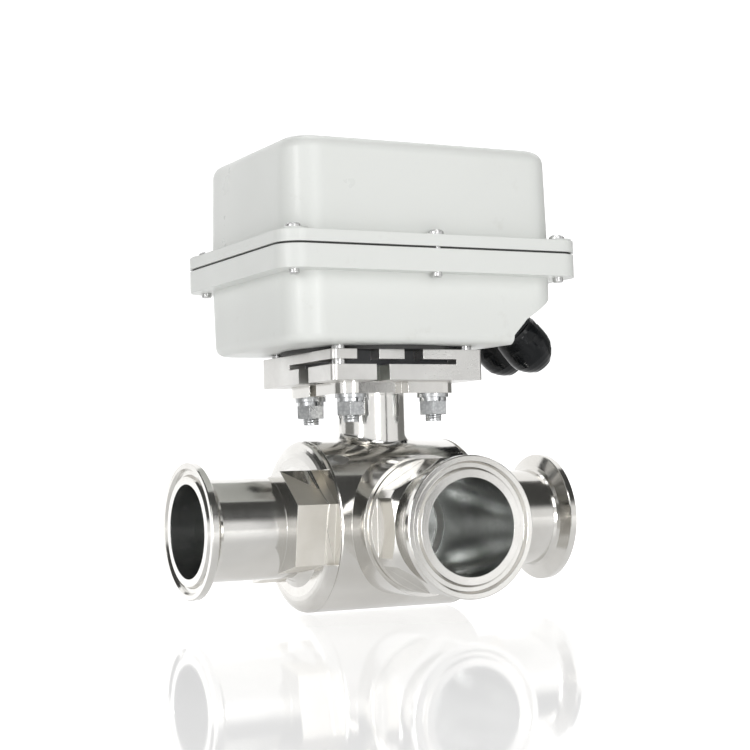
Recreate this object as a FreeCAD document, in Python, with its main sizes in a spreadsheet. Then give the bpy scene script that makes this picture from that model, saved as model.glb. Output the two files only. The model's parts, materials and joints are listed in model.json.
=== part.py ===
import FreeCAD, Part
import math
import os
import Sketcher

Vector = FreeCAD.Vector
Placement = FreeCAD.Placement
Rotation = FreeCAD.Rotation

# Driving dimensions in millimetres and degrees. The origin is the centre of the ball, where the
# axes of the three ports cross: the run is along X, the front port points along -Y, the stem is +Z.
DRIVING = {
    # pipework: 1.5 inch hygienic clamp ends
    "run_reach": 77.5,
    "front_reach": 73.8,
    "ferrule_diameter": 50.5,
    "ferrule_rim": 2.85,
    "ferrule_cone": 2.3,
    "tube_diameter": 38.1,
    "bore_diameter": 34.8,
    "gasket_groove_diameter": 43.4,
    "gasket_groove_width": 3.0,
    "gasket_groove_depth": 1.4,
    # valve body
    "body_diameter": 65.0,
    "body_half": 29.9,
    "cavity_diameter": 51.6,
    "run_thread_diameter": 56.0,
    "front_thread_diameter": 41.0,
    "seat_back": 24.0,
    "boss_diameter": 52.0,
    "boss_reach": 42.0,
    "neck_diameter": 26.0,
    "neck_fillet": 3.5,
    "seal_groove_depth": 1.6,
    "seal_groove_width": 1.6,
    # end caps
    "cap_face": 34.0,
    "cap_dome": 6.2,
    "lug_end": 45.7,
    "lug_edge_across": 28.8,
    "lug_edge_up": 8.8,
    "lug_top_across": 13.5,
    "lug_top_up": 21.3,
    "lug_foot_across": 25.3,
    "lug_foot_down": 13.4,
    "flat_edge_across": 29.1,
    "flat_top_across": 15.5,
    "flat_foot_across": 26.0,
    "front_cap_end": 58.0,
    "front_cap_diameter": 49.0,
    "front_cap_flats": 44.0,
    # ball, seats and stem
    "ball_diameter": 50.8,
    "seat_clearance": 0.2,
    "seat_front": 17.6,
    "mitre_gap": 0.2,
    "stem_diameter": 12.0,
    "stem_collar_diameter": 16.0,
    "stem_collar_bottom": 26.8,
    "stem_collar_top": 29.1,
    "thrust_washer_bottom": 29.3,
    "thrust_washer_top": 30.1,
    "tang_width": 7.8,
    "tang_length": 14.0,
    "tang_bottom": 19.7,
    "slot_width": 8.0,
    "slot_floor": 19.4,
    "running_fit": 0.05,
    "stuffing_box_diameter": 19.0,
    "packing_bottom": 37.0,
    "packing_ring_height": 2.5,
    "follower_top": 48.0,
    "spring_top": 50.6,
    "stem_nut_bottom": 51.0,
    "stem_nut_top": 55.0,
    "stem_nut_flats": 17.0,
    "pad_recess_diameter": 25.0,
    "pad_recess_floor": 50.6,
    "stem_square_bottom": 56.0,
    "stem_square": 9.0,
    "stem_top": 68.0,
    # ISO 5211 F05 top pad
    "pad_bottom": 49.5,
    "pad_top": 54.0,
    "pad_side": 50.0,
    "pad_corner": 7.0,
    "pad_notch": 5.8,
    "pad_notch_depth": 5.0,
    "bolt_square": 35.355,
    "bolt_diameter": 6.0,
    "bolt_hole_diameter": 6.6,
    "bolt_end": 39.0,
    "nut_bottom": 41.5,
    "nut_top": 46.5,
    "nut_flats": 10.0,
    "spring_washer_top": 48.1,
    "spring_washer_diameter": 10.4,
    "flat_washer_diameter": 12.0,
    # mounting bracket
    "bracket_side": 64.0,
    "bracket_bottom": 54.0,
    "bracket_plate_top": 59.9,
    "bracket_groove_top": 61.8,
    "bracket_top": 65.5,
    "bracket_corner": 2.0,
    "bracket_groove_depth": 7.0,
    "bracket_slot_depth": 8.0,
    "bracket_bore_diameter": 32.0,
    "bolt_head_diameter": 10.0,
    "bolt_head_height": 5.0,
    "bracket_screw_place": 27.0,
    "bracket_screw_diameter": 5.0,
    "bracket_screw_head": 9.0,
    "bracket_screw_end": 57.0,
    "base_gasket_diameter": 69.5,
    # actuator box
    "box_centre": 5.0,
    "flange_length": 126.0,
    "flange_width": 97.4,
    "flange_corner": 9.0,
    "wall_length": 114.0,
    "wall_width": 85.4,
    "wall_corner": 13.0,
    "wall": 3.0,
    "draft_angle": 1.4,
    "box_bottom": 67.0,
    "flange_bottom": 92.8,
    "parting": 101.4,
    "cover_bottom": 102.2,
    "cover_flange_top": 106.7,
    "cover_top": 142.5,
    "cover_rounding": 5.0,
    "bottom_rounding": 3.5,
    "slope_top_out": 61.8,
    "slope_top": 86.6,
    "slope_bend_out": 46.2,
    "slope_bend": 76.7,
    "slope_foot_out": 40.3,
    "slope_foot": 70.4,
    "slope_wall_in": 2.6,
    "slope_wall_up": 2.2,
    "hub_diameter": 40.0,
    "hub_top": 72.0,
    "bush_bore_diameter": 31.0,
    "corner_screw_along": 56.0,
    "corner_screw_across": 41.7,
    "middle_screw_across": 45.8,
    "cover_screw_diameter": 4.0,
    "cover_screw_head": 5.8,
    "cover_screw_head_height": 1.8,
    "cover_screw_end": 91.0,
    "screw_boss_diameter": 11.0,
    "screw_boss_height": 0.8,
    # output shaft
    "shaft_boss_diameter": 26.0,
    "shaft_bottom": 58.5,
    "shaft_shoulder": 73.2,
    "gear_seat_diameter": 18.0,
    "gear_seat_top": 80.2,
    "shaft_diameter": 10.0,
    "shaft_top": 135.0,
    "sleeve_square": 14.0,
    "socket_square": 14.1,
    "socket_top": 70.0,
    "sleeve_bottom": 57.5,
    "sleeve_top": 69.5,
    "seal_top": 68.6,
    "bush_flange_diameter": 35.0,
    "bush_flange_height": 1.0,
    # gear train
    "output_teeth": 50,
    "pinion_teeth": 12,
    "intermediate_teeth": 45,
    "first_teeth": 48,
    "output_module": 1.0,
    "intermediate_module": 0.8,
    "first_module": 0.5,
    "output_gear_bottom": 73.4,
    "output_gear_top": 79.4,
    "intermediate_wheel_bottom": 81.0,
    "intermediate_wheel_top": 84.0,
    "first_pinion_top": 84.6,
    "first_wheel_bottom": 86.0,
    "first_wheel_top": 88.5,
    "gear_hub_top": 91.2,
    "gear_gap": 0.3,
    "axle_diameter": 4.0,
    "plate_bottom": 91.5,
    "plate_thickness": 2.5,
    "plate_left": 47.0,
    "plate_right": 50.0,
    "plate_half_width": 37.0,
    "plate_corner": 10.0,
    "pillar_diameter": 6.0,
    "small_screw_diameter": 3.0,
    "small_screw_length": 8.0,
    "small_head_diameter": 5.5,
    "small_head_height": 2.4,
    # motor, cams and switches
    "motor_diameter": 28.0,
    "motor_length": 36.0,
    "motor_boss_diameter": 9.0,
    "motor_shaft_diameter": 2.0,
    "capacitor_diameter": 16.0,
    "capacitor_length": 28.0,
    "cam_diameter": 16.0,
    "lobe_diameter": 23.0,
    "cam_thickness": 4.0,
    "closed_cam_bottom": 100.2,
    "open_cam_bottom": 106.6,
    "switch_height": 6.4,
    "switch_length": 20.0,
    "switch_depth": 10.2,
    "switch_face": 15.5,
    "closed_switch_bottom": 99.0,
    "open_switch_bottom": 105.4,
    "lever_place": 11.9,
    "lever_thickness": 0.5,
    "lever_width": 3.4,
    # circuit board
    "board_left": 37.5,
    "board_right": 56.5,
    "board_half_width": 34.0,
    "board_bottom": 96.0,
    "board_thickness": 1.6,
    "terminal_length": 56.0,
    "terminal_depth": 12.0,
    "terminal_height": 13.0,
    # indicator
    "indicator_diameter": 20.0,
    "indicator_thickness": 1.6,
    "window_diameter": 30.0,
    "window_hole_diameter": 24.0,
    "window_thickness": 1.6,
    # cable glands
    "gland_spacing": 19.8,
    "gland_seat_out": 55.6,
    "gland_seat_up": 79.1,
    "gland_boss_diameter": 22.0,
    "gland_wall": 4.0,
    "gland_thread_diameter": 12.0,
    "gland_bore_diameter": 8.4,
    "gland_flats": 16.6,
    "gland_nut_flats": 18.5,
    "gland_nut_diameter": 19.3,
    "gland_hex_height": 4.6,
    "gland_thread_inside": 9.5,
    "gland_nut_hex_height": 5.0,
    "gland_nut_length": 19.0,
    "gland_mouth_diameter": 7.2,
    "gland_cable_diameter": 6.0,
    "gland_washer_diameter": 17.4,
    "gland_washer_thickness": 1.0,
    "locknut_height": 4.0,
}

doc = FreeCAD.newDocument("three_way_valve_actuator")
sheet = doc.addObject("Spreadsheet::Sheet", "Dims")
for row, (alias, value) in enumerate(DRIVING.items(), start=1):
    sheet.set(f"A{row}", alias)
    sheet.set(f"B{row}", str(value))
    sheet.setAlias(f"B{row}", alias)
doc.recompute()


class Size:
    """A number together with the spreadsheet formula that gives it."""

    def __init__(self, number, formula):
        self.number = number
        self.formula = formula

    def __add__(self, other):
        other = as_size(other)
        return Size(self.number + other.number, f"({self.formula} + {other.formula})")

    def __sub__(self, other):
        other = as_size(other)
        return Size(self.number - other.number, f"({self.formula} - {other.formula})")

    def __mul__(self, other):
        other = as_size(other)
        return Size(self.number * other.number, f"({self.formula} * {other.formula})")

    def __truediv__(self, other):
        other = as_size(other)
        return Size(self.number / other.number, f"({self.formula} / {other.formula})")

    def __neg__(self):
        return Size(-self.number, f"(0 - {self.formula})")


def as_size(value):
    """Plain numbers become sizes whose formula is the number itself."""
    if isinstance(value, Size):
        return value
    return Size(float(value), f"({float(value):.6f})")


class Dimensions:
    """Every sheet cell as a Size, by its alias."""


dim = Dimensions()
for alias in DRIVING:
    setattr(dim, alias, Size(float(sheet.get(alias)), f"Dims.{alias}"))


def bind(target, path, size):
    """Ties one property of an object to the sheet."""
    target.setExpression(path, as_size(size).formula)


def place(target, x=0, y=0, z=0):
    """Ties an object's position to the sheet."""
    for letter, size in (("x", x), ("y", y), ("z", z)):
        bind(target, f"Placement.Base.{letter}", size)
    return target


def turn(target, axis, degrees):
    """Turns an object about a direction through its own origin."""
    target.Placement = Placement(Vector(0, 0, 0), Rotation(axis, degrees))
    return target


# ---------------------------------------------------------------- sketch and feature helpers


def new_body(label):
    body = doc.addObject("PartDesign::Body", label)
    body.Label = label
    return body


def new_sketch(body, plane, offset=None):
    """A sketch on one of the body's own origin planes, moved along the plane's normal."""
    sketch = body.newObject("Sketcher::SketchObject", f"{body.Name}_sketch")
    for feature in body.Origin.OriginFeatures:
        if feature.Role == plane:
            sketch.AttachmentSupport = [(feature, "")]
    sketch.MapMode = "FlatFace"
    if offset is not None:
        bind(sketch, "AttachmentOffset.Base.z", offset)
    return sketch


def pin_point(sketch, geometry, point, x, y):
    """Fixes one sketch point at sheet-driven coordinates."""
    for kind, size, other_axis in (("DistanceX", x, -2), ("DistanceY", y, -1)):
        if abs(size.number) < 1e-9:
            sketch.addConstraint(Sketcher.Constraint("PointOnObject", geometry, point, other_axis))
            continue
        index = sketch.addConstraint(
            Sketcher.Constraint(kind, -1, 1, geometry, point, size.number)
        )
        bind(sketch, f"Constraints[{index}]", size)


def axis_step(start, end):
    """The unit step of an axis-aligned side, as a pair of whole numbers."""
    dx = end[0].number - start[0].number
    dy = end[1].number - start[1].number
    if abs(dx) > abs(dy):
        return (math.copysign(1, dx), 0)
    return (0, math.copysign(1, dy))


def add_outline(sketch, corners):
    """Adds a closed outline. A corner with a third value is rounded, and its sides run along the axes."""
    corners = [tuple(as_size(value) for value in corner) for corner in corners]
    count = len(corners)
    stops = []
    for i, corner in enumerate(corners):
        if len(corner) == 2:
            stops.append((corner, corner, None))
            continue
        x, y, radius = corner
        back = axis_step(corner, corners[i - 1])
        ahead = axis_step(corner, corners[(i + 1) % count])
        entry = (x + radius * back[0], y + radius * back[1])
        leave = (x + radius * ahead[0], y + radius * ahead[1])
        centre = (x + radius * (back[0] + ahead[0]), y + radius * (back[1] + ahead[1]))
        stops.append((entry, leave, (centre, radius)))
    lines = []
    for i in range(count):
        start = stops[i][1]
        end = stops[(i + 1) % count][0]
        lines.append(
            sketch.addGeometry(
                Part.LineSegment(
                    Vector(start[0].number, start[1].number, 0),
                    Vector(end[0].number, end[1].number, 0),
                )
            )
        )
    for i, (entry, leave, arc) in enumerate(stops):
        before = lines[i - 1]
        after = lines[i]
        if arc is None:
            sketch.addConstraint(Sketcher.Constraint("Coincident", before, 2, after, 1))
            pin_point(sketch, after, 1, leave[0], leave[1])
            continue
        centre, radius = arc
        angles = [
            math.atan2(point[1].number - centre[1].number, point[0].number - centre[0].number)
            for point in (entry, leave)
        ]
        forward = (angles[1] - angles[0]) % (2 * math.pi) < math.pi
        first, second = angles if forward else angles[::-1]
        circle = Part.Circle(
            Vector(centre[0].number, centre[1].number, 0), Vector(0, 0, 1), radius.number
        )
        curve = sketch.addGeometry(Part.ArcOfCircle(circle, first, second))
        entry_end, leave_end = (1, 2) if forward else (2, 1)
        sketch.addConstraint(Sketcher.Constraint("Coincident", before, 2, curve, entry_end))
        sketch.addConstraint(Sketcher.Constraint("Coincident", after, 1, curve, leave_end))
        pin_point(sketch, before, 2, entry[0], entry[1])
        pin_point(sketch, after, 1, leave[0], leave[1])
        index = sketch.addConstraint(Sketcher.Constraint("Radius", curve, radius.number))
        bind(sketch, f"Constraints[{index}]", radius)
    return sketch


def add_circles(sketch, circles):
    for x, y, radius in circles:
        x, y, radius = as_size(x), as_size(y), as_size(radius)
        curve = sketch.addGeometry(
            Part.Circle(Vector(x.number, y.number, 0), Vector(0, 0, 1), radius.number)
        )
        index = sketch.addConstraint(Sketcher.Constraint("Radius", curve, radius.number))
        bind(sketch, f"Constraints[{index}]", radius)
        pin_point(sketch, curve, 3, x, y)
    return sketch


def rectangle(half_x, half_y, radius=None, centre_x=0.0):
    """Corners of a rectangle about a centre on the X axis, rounded where a radius is given."""
    left = as_size(centre_x) - half_x
    right = as_size(centre_x) + half_x
    low = as_size(0) - half_y
    high = as_size(0) + half_y
    corners = [(left, low), (right, low), (right, high), (left, high)]
    if radius is None:
        return corners
    return [(x, y, radius) for x, y in corners]


def hexagon(across_flats, first_corner=30):
    """Corners of a hexagon; by default two flats are square to the first axis."""
    reach = as_size(across_flats) / math.sqrt(3)
    turns = [math.radians(first_corner + 60 * i) for i in range(6)]
    return [(reach * math.cos(a), reach * math.sin(a)) for a in turns]


def extrude(body, sketch, length, upward=True, cut=False, both_ways=False):
    """Adds or cuts the sketch's area along its normal, or against it."""
    before = body.Shape.Volume if cut else 0
    kind = "PartDesign::Pocket" if cut else "PartDesign::Pad"
    feature = body.newObject(kind, f"{body.Name}_{'pocket' if cut else 'pad'}")
    feature.Profile = sketch
    bind(feature, "Length", length)
    feature.Midplane = both_ways
    feature.Reversed = upward if cut else not upward
    doc.recompute()
    if cut and not body.Shape.Volume < before - 1e-3:
        raise RuntimeError(f"{feature.Name} cut nothing")
    return feature


def revolve(body, sketch, axis, cut=False):
    """Adds or cuts the sketch's area turned about one of its own axes."""
    before = body.Shape.Volume if cut else 0
    kind = "PartDesign::Groove" if cut else "PartDesign::Revolution"
    feature = body.newObject(kind, f"{body.Name}_{'groove' if cut else 'revolution'}")
    feature.Profile = sketch
    feature.ReferenceAxis = (sketch, [axis])
    feature.Angle = 360
    doc.recompute()
    if cut and not body.Shape.Volume < before - 1e-3:
        raise RuntimeError(f"{feature.Name} cut nothing")
    return feature


def turned(label, rings, cut=False, body=None):
    """A piece turned about Z from an outline of (radius, height) corners."""
    body = body or new_body(label)
    revolve(body, add_outline(new_sketch(body, "XZ_Plane"), rings), "V_Axis", cut)
    return body


def turned_along_x(label, rings, cut=False, body=None):
    """A piece turned about X from an outline of (distance along X, radius) corners."""
    body = body or new_body(label)
    revolve(body, add_outline(new_sketch(body, "XZ_Plane"), rings), "H_Axis", cut)
    return body


def plate(label, corners, bottom, top, body=None):
    """A plate between two heights from an outline in the XY plane."""
    body = body or new_body(label)
    sketch = add_outline(new_sketch(body, "XY_Plane", bottom), corners)
    extrude(body, sketch, as_size(top) - bottom)
    return body


def drill(body, circles, bottom, top):
    """Cuts upright round holes between two heights."""
    sketch = add_circles(new_sketch(body, "XY_Plane", bottom), circles)
    extrude(body, sketch, as_size(top) - bottom, cut=True)


def carve(body, corners, bottom, top):
    """Cuts an upright pocket between two heights."""
    sketch = add_outline(new_sketch(body, "XY_Plane", bottom), corners)
    extrude(body, sketch, as_size(top) - bottom, cut=True)


def round_edges(body, radius, chosen):
    """Rounds the edges of the body's tip that the test picks."""
    tip = body.Tip
    names = [f"Edge{i}" for i, edge in enumerate(tip.Shape.Edges, start=1) if chosen(edge)]
    if not names:
        raise RuntimeError(f"{body.Label} has no such edge")
    fillet = body.newObject("PartDesign::Fillet", f"{body.Name}_fillet")
    fillet.Base = (tip, names)
    bind(fillet, "Radius", radius)
    doc.recompute()
    return fillet


# ---------------------------------------------------------------- Part helpers


def cylinder(name, radius, bottom, top, x=0, y=0):
    shape = doc.addObject("Part::Cylinder", name)
    bind(shape, "Radius", radius)
    bind(shape, "Height", as_size(top) - bottom)
    return place(shape, x, y, bottom)


def box(name, low, high):
    shape = doc.addObject("Part::Box", name)
    for path, start, end in zip(("Length", "Width", "Height"), low, high):
        bind(shape, path, as_size(end) - start)
    return place(shape, *low)


def hex_prism(name, across_flats, bottom, top, x=0, y=0):
    shape = doc.addObject("Part::Prism", name)
    shape.Polygon = 6
    bind(shape, "Circumradius", as_size(across_flats) / math.sqrt(3))
    bind(shape, "Height", as_size(top) - bottom)
    return place(shape, x, y, bottom)


def fuse(name, shapes):
    joined = doc.addObject("Part::MultiFuse", name)
    joined.Shapes = shapes
    return joined


def cut(name, base, tool):
    result = doc.addObject("Part::Cut", name)
    result.Base = base
    result.Tool = tool
    return result


def group(label, shapes):
    """Identical loose pieces kept together as one sub-part."""
    bundle = doc.addObject("Part::Compound", label)
    bundle.Links = shapes
    bundle.Label = label
    return bundle


def ring(name, outer, inner, bottom, top, x=0, y=0):
    rim = cylinder(f"{name}_rim", outer, bottom, top, x, y)
    hole = cylinder(f"{name}_hole", inner, as_size(bottom) - 1, as_size(top) + 1, x, y)
    return cut(name, rim, hole)


PARTS = []


def finish(part, label=None):
    """Names a sub-part and keeps it for export."""
    if label:
        part.Label = label
    PARTS.append(part)
    return part


# ---------------------------------------------------------------- valve


def half(size):
    return as_size(size) / 2


def make_valve_body():
    body = new_body("valve_body")
    radius = half(dim.body_diameter)
    edge = 0.5
    turned_along_x(
        None,
        [
            (-dim.body_half, 0),
            (-dim.body_half, radius - edge),
            (-dim.body_half + edge, radius),
            (dim.body_half - edge, radius),
            (dim.body_half, radius - edge),
            (dim.body_half, 0),
        ],
        body=body,
    )
    boss = add_circles(new_sketch(body, "XZ_Plane"), [(0, 0, half(dim.boss_diameter))])
    extrude(body, boss, dim.boss_reach)
    neck = add_circles(new_sketch(body, "XY_Plane"), [(0, 0, half(dim.neck_diameter))])
    extrude(body, neck, dim.pad_bottom)
    neck_radius = dim.neck_diameter.number / 2

    def neck_foot(found):
        middle = found.valueAt((found.FirstParameter + found.LastParameter) / 2)
        on_neck = abs(math.hypot(middle.x, middle.y) - neck_radius) < 0.01
        return on_neck and 20 < middle.z < 40 and found.Curve.TypeId != "Part::GeomLine"

    round_edges(body, dim.neck_fillet, neck_foot)
    plate(None, rectangle(half(dim.pad_side), half(dim.pad_side), dim.pad_corner),
          dim.pad_bottom, dim.pad_top, body=body)
    notch_half = half(dim.pad_notch)
    inner = half(dim.pad_side) - dim.pad_notch_depth
    outer = half(dim.pad_side) + 1
    for along_x in (True, False):
        for side in (1, -1):
            corners = [(-notch_half, inner * side), (notch_half, inner * side),
                       (notch_half, outer * side), (-notch_half, outer * side)]
            if along_x:
                corners = [(y, x) for x, y in corners]
            carve(body, corners, dim.pad_bottom, dim.pad_top)
    place_at = half(dim.bolt_square)
    drill(body, [(place_at * sx, place_at * sy, half(dim.bolt_hole_diameter))
                 for sx in (1, -1) for sy in (1, -1)], dim.pad_bottom, dim.pad_top)
    # run cavity with its two threads and seal recesses
    cavity = half(dim.cavity_diameter)
    thread = half(dim.run_thread_diameter) + dim.running_fit
    recess = thread + dim.seal_groove_depth
    recess_start = dim.body_half - dim.seal_groove_width
    turned_along_x(
        None,
        [
            (-dim.body_half, 0),
            (-dim.body_half, recess),
            (-recess_start, recess),
            (-recess_start, thread),
            (-dim.seat_back, thread),
            (-dim.seat_back, cavity),
            (dim.seat_back, cavity),
            (dim.seat_back, thread),
            (recess_start, thread),
            (recess_start, recess),
            (dim.body_half, recess),
            (dim.body_half, 0),
        ],
        cut=True,
        body=body,
    )
    # front port thread
    front = half(dim.front_thread_diameter) + dim.running_fit
    port = add_circles(new_sketch(body, "XZ_Plane"), [(0, 0, front)])
    extrude(body, port, dim.boss_reach, cut=True)
    mouth = add_circles(
        new_sketch(body, "XZ_Plane", dim.boss_reach - dim.seal_groove_width),
        [(0, 0, front + dim.seal_groove_depth)],
    )
    extrude(body, mouth, dim.seal_groove_width, cut=True)
    # stem bore and stuffing box
    collar = half(dim.stem_collar_diameter) + 0.3
    shaft = half(dim.stem_diameter) + dim.running_fit
    stuffing = half(dim.stuffing_box_diameter)
    pad_recess = half(dim.pad_recess_diameter)
    turned(
        None,
        [
            (0, dim.tang_bottom),
            (collar, dim.tang_bottom),
            (collar, dim.thrust_washer_top),
            (shaft, dim.thrust_washer_top),
            (shaft, dim.packing_bottom),
            (stuffing, dim.packing_bottom),
            (stuffing, dim.pad_recess_floor),
            (pad_recess, dim.pad_recess_floor),
            (pad_recess, dim.pad_top),
            (0, dim.pad_top),
        ],
        cut=True,
        body=body,
    )
    return finish(body)


def add_ferrule(body, start, reach):
    """A tube from the cap to a clamp ferrule with its gasket groove."""
    bore = half(dim.bore_diameter)
    tube = half(dim.tube_diameter)
    rim = half(dim.ferrule_diameter)
    cone_end = reach - dim.ferrule_rim
    cone_start = cone_end - dim.ferrule_cone
    turned_along_x(
        None,
        [
            (start, bore),
            (start, tube),
            (cone_start - 1.6, tube),
            (cone_start - 0.5, tube + 0.4),
            (cone_start + 0.3, tube + 1.5),
            (cone_end, rim - 0.3),
            (cone_end + 0.3, rim),
            (reach - 0.3, rim),
            (reach, rim - 0.3),
            (reach, bore),
        ],
        body=body,
    )
    groove = half(dim.gasket_groove_diameter)
    wide = half(dim.gasket_groove_width)
    deep = reach - dim.gasket_groove_depth
    turned_along_x(
        None,
        [
            (reach, groove - wide),
            (deep, groove - wide * 0.5),
            (deep, groove + wide * 0.5),
            (reach, groove + wide),
        ],
        cut=True,
        body=body,
    )


def cut_flats(body, corners, start, end, clear_radius):
    """Mills flats: removes what lies outside the wrench outline between two places along X."""
    sketch = new_sketch(body, "YZ_Plane", start)
    add_outline(sketch, corners)
    add_circles(sketch, [(0, 0, clear_radius)])
    extrude(body, sketch, as_size(end) - start, cut=True)


def make_run_cap(label, yaw):
    """An end cap of the run: threaded spigot, round shoulder, two wrench lugs, tube and ferrule."""
    body = new_body(label)
    bore = half(dim.bore_diameter)
    radius = half(dim.body_diameter)
    tube = half(dim.tube_diameter)
    edge = 0.5
    depth = dim.cap_face - dim.body_half - edge
    quarter = [math.radians(15 * step) for step in range(1, 7)]
    dome = [(dim.body_half + edge + depth * math.sin(t), radius - dim.cap_dome * (1 - math.cos(t)))
            for t in quarter]
    turned_along_x(
        None,
        [
            (dim.seat_back, bore),
            (dim.seat_back, half(dim.run_thread_diameter)),
            (dim.body_half, half(dim.run_thread_diameter)),
            (dim.body_half, radius - edge),
            (dim.body_half + edge, radius),
        ]
        + dome
        + [
            (dim.cap_face, tube + 3.6),
            (dim.cap_face + 1.2, tube + 1.4),
            (dim.cap_face + 3.4, tube),
            (dim.cap_face + 3.4, bore),
        ],
        body=body,
    )
    # flats milled into the shoulder on both sides, with square ends
    beyond = radius + 4
    flats = [
        (beyond, dim.lug_top_up),
        (dim.flat_top_across, dim.lug_top_up),
        (dim.flat_edge_across, dim.lug_edge_up),
        (dim.flat_foot_across, -dim.lug_foot_down),
        (beyond, -dim.lug_foot_down),
    ]
    for sign in (1, -1):
        sketch = new_sketch(body, "YZ_Plane", dim.body_half + edge)
        add_outline(sketch, [(y * sign, z * sign) for y, z in flats])
        extrude(body, sketch, dim.cap_face - dim.body_half, cut=True)
    # the wrench lugs behind the shoulder are a little narrower than its flats
    lug = [
        (dim.lug_top_across, dim.lug_top_up),
        (dim.lug_edge_across, dim.lug_edge_up),
        (dim.lug_foot_across, -dim.lug_foot_down),
    ]
    sketch = new_sketch(body, "YZ_Plane", dim.cap_face - 1)
    add_outline(sketch, lug + [(-y, -z) for y, z in lug])
    extrude(body, sketch, dim.lug_end - dim.cap_face + 1)
    turned_along_x(
        None,
        [(dim.cap_face - 1, 0), (dim.cap_face - 1, bore), (dim.lug_end, bore), (dim.lug_end, 0)],
        cut=True,
        body=body,
    )
    add_ferrule(body, dim.cap_face + 3, dim.run_reach)
    return finish(turn(body, Vector(0, 0, 1), yaw))


def make_front_cap():
    """The third port: threaded spigot, hexagon, tube and ferrule, pointing along -Y."""
    body = new_body("front_end_cap")
    bore = half(dim.bore_diameter)
    radius = half(dim.front_cap_diameter)
    edge = 0.6
    turned_along_x(
        None,
        [
            (dim.seat_back, bore),
            (dim.seat_back, half(dim.front_thread_diameter)),
            (dim.boss_reach, half(dim.front_thread_diameter)),
            (dim.boss_reach, radius - edge),
            (dim.boss_reach + edge, radius),
            (dim.front_cap_end - 2.5, radius),
            (dim.front_cap_end, radius - 2.5),
            (dim.front_cap_end, bore),
        ],
        body=body,
    )
    cut_flats(body, hexagon(dim.front_cap_flats), dim.boss_reach + 3, dim.front_cap_end, radius + 4)
    add_ferrule(body, dim.front_cap_end - 1, dim.front_reach)
    turn(body, Vector(0, 0, 1), -90)
    return finish(body)


def make_seat(label, outer, yaw):
    """A seat ring: full-bore, its inner face ground to the ball."""
    body = new_body(label)
    bore = half(dim.bore_diameter)
    turned_along_x(
        None,
        [(dim.seat_front, bore), (dim.seat_front, outer), (dim.seat_back, outer), (dim.seat_back, bore)],
        body=body,
    )
    sphere = body.newObject("PartDesign::SubtractiveSphere", f"{label}_ball_face")
    bind(sphere, "Radius", half(dim.ball_diameter) + dim.seat_clearance)
    doc.recompute()
    # mitred at 45 degrees to leave room for the seats of the other ports
    near = dim.seat_front - 2
    far = dim.seat_back + 2
    for side in (1, -1):
        mitre = [(near, (near - dim.mitre_gap) * side), (far, (far - dim.mitre_gap) * side),
                 (far, (far + 4) * side), (near, (far + 4) * side)]
        carve(body, mitre, -far - 4, far + 4)
    return turn(body, Vector(0, 0, 1), yaw)


def make_cap_seals():
    """Square ring seals in the recesses between the caps and the body."""
    seals = []
    places = (("right", dim.run_thread_diameter, dim.body_half, 0),
              ("left", dim.run_thread_diameter, dim.body_half, 180),
              ("front", dim.front_thread_diameter, dim.boss_reach, -90))
    for side, diameter, seam, yaw in places:
        inner = half(diameter) + 0.15
        outer = inner + dim.seal_groove_depth - 0.25
        start = seam - dim.seal_groove_width + 0.1
        body = turned_along_x(
            f"{side}_cap_seal_ring",
            [(start, inner), (start, outer), (seam - 0.1, outer), (seam - 0.1, inner)],
        )
        seals.append(turn(body, Vector(0, 0, 1), yaw))
    return finish(group("cap_seals", seals))


def make_ball():
    body = new_body("ball")
    sphere = body.newObject("PartDesign::AdditiveSphere", "ball_sphere")
    bind(sphere, "Radius", half(dim.ball_diameter))
    doc.recompute()
    bore = half(dim.bore_diameter)
    run = add_circles(new_sketch(body, "YZ_Plane"), [(0, 0, bore)])
    extrude(body, run, dim.ball_diameter + 2, cut=True, both_ways=True)
    branch = add_circles(new_sketch(body, "XZ_Plane"), [(0, 0, bore)])
    extrude(body, branch, dim.ball_diameter, cut=True)
    carve(body, rectangle(half(dim.slot_width), half(dim.ball_diameter)),
          dim.slot_floor, half(dim.ball_diameter) + 1)
    return finish(body)


def make_stem():
    radius = half(dim.stem_diameter)
    collar = half(dim.stem_collar_diameter)
    body = turned(
        "stem",
        [
            (0, dim.stem_collar_bottom - 0.5),
            (collar, dim.stem_collar_bottom - 0.5),
            (collar, dim.stem_collar_top),
            (radius, dim.stem_collar_top),
            (radius, dim.stem_square_bottom),
            (0, dim.stem_square_bottom),
        ],
    )
    plate(None, rectangle(half(dim.tang_width), half(dim.tang_length)),
          dim.tang_bottom, dim.stem_collar_bottom, body=body)
    square = half(dim.stem_square)
    plate(None, rectangle(square, square), dim.stem_square_bottom - 1, dim.stem_top, body=body)
    return finish(body)


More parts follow.
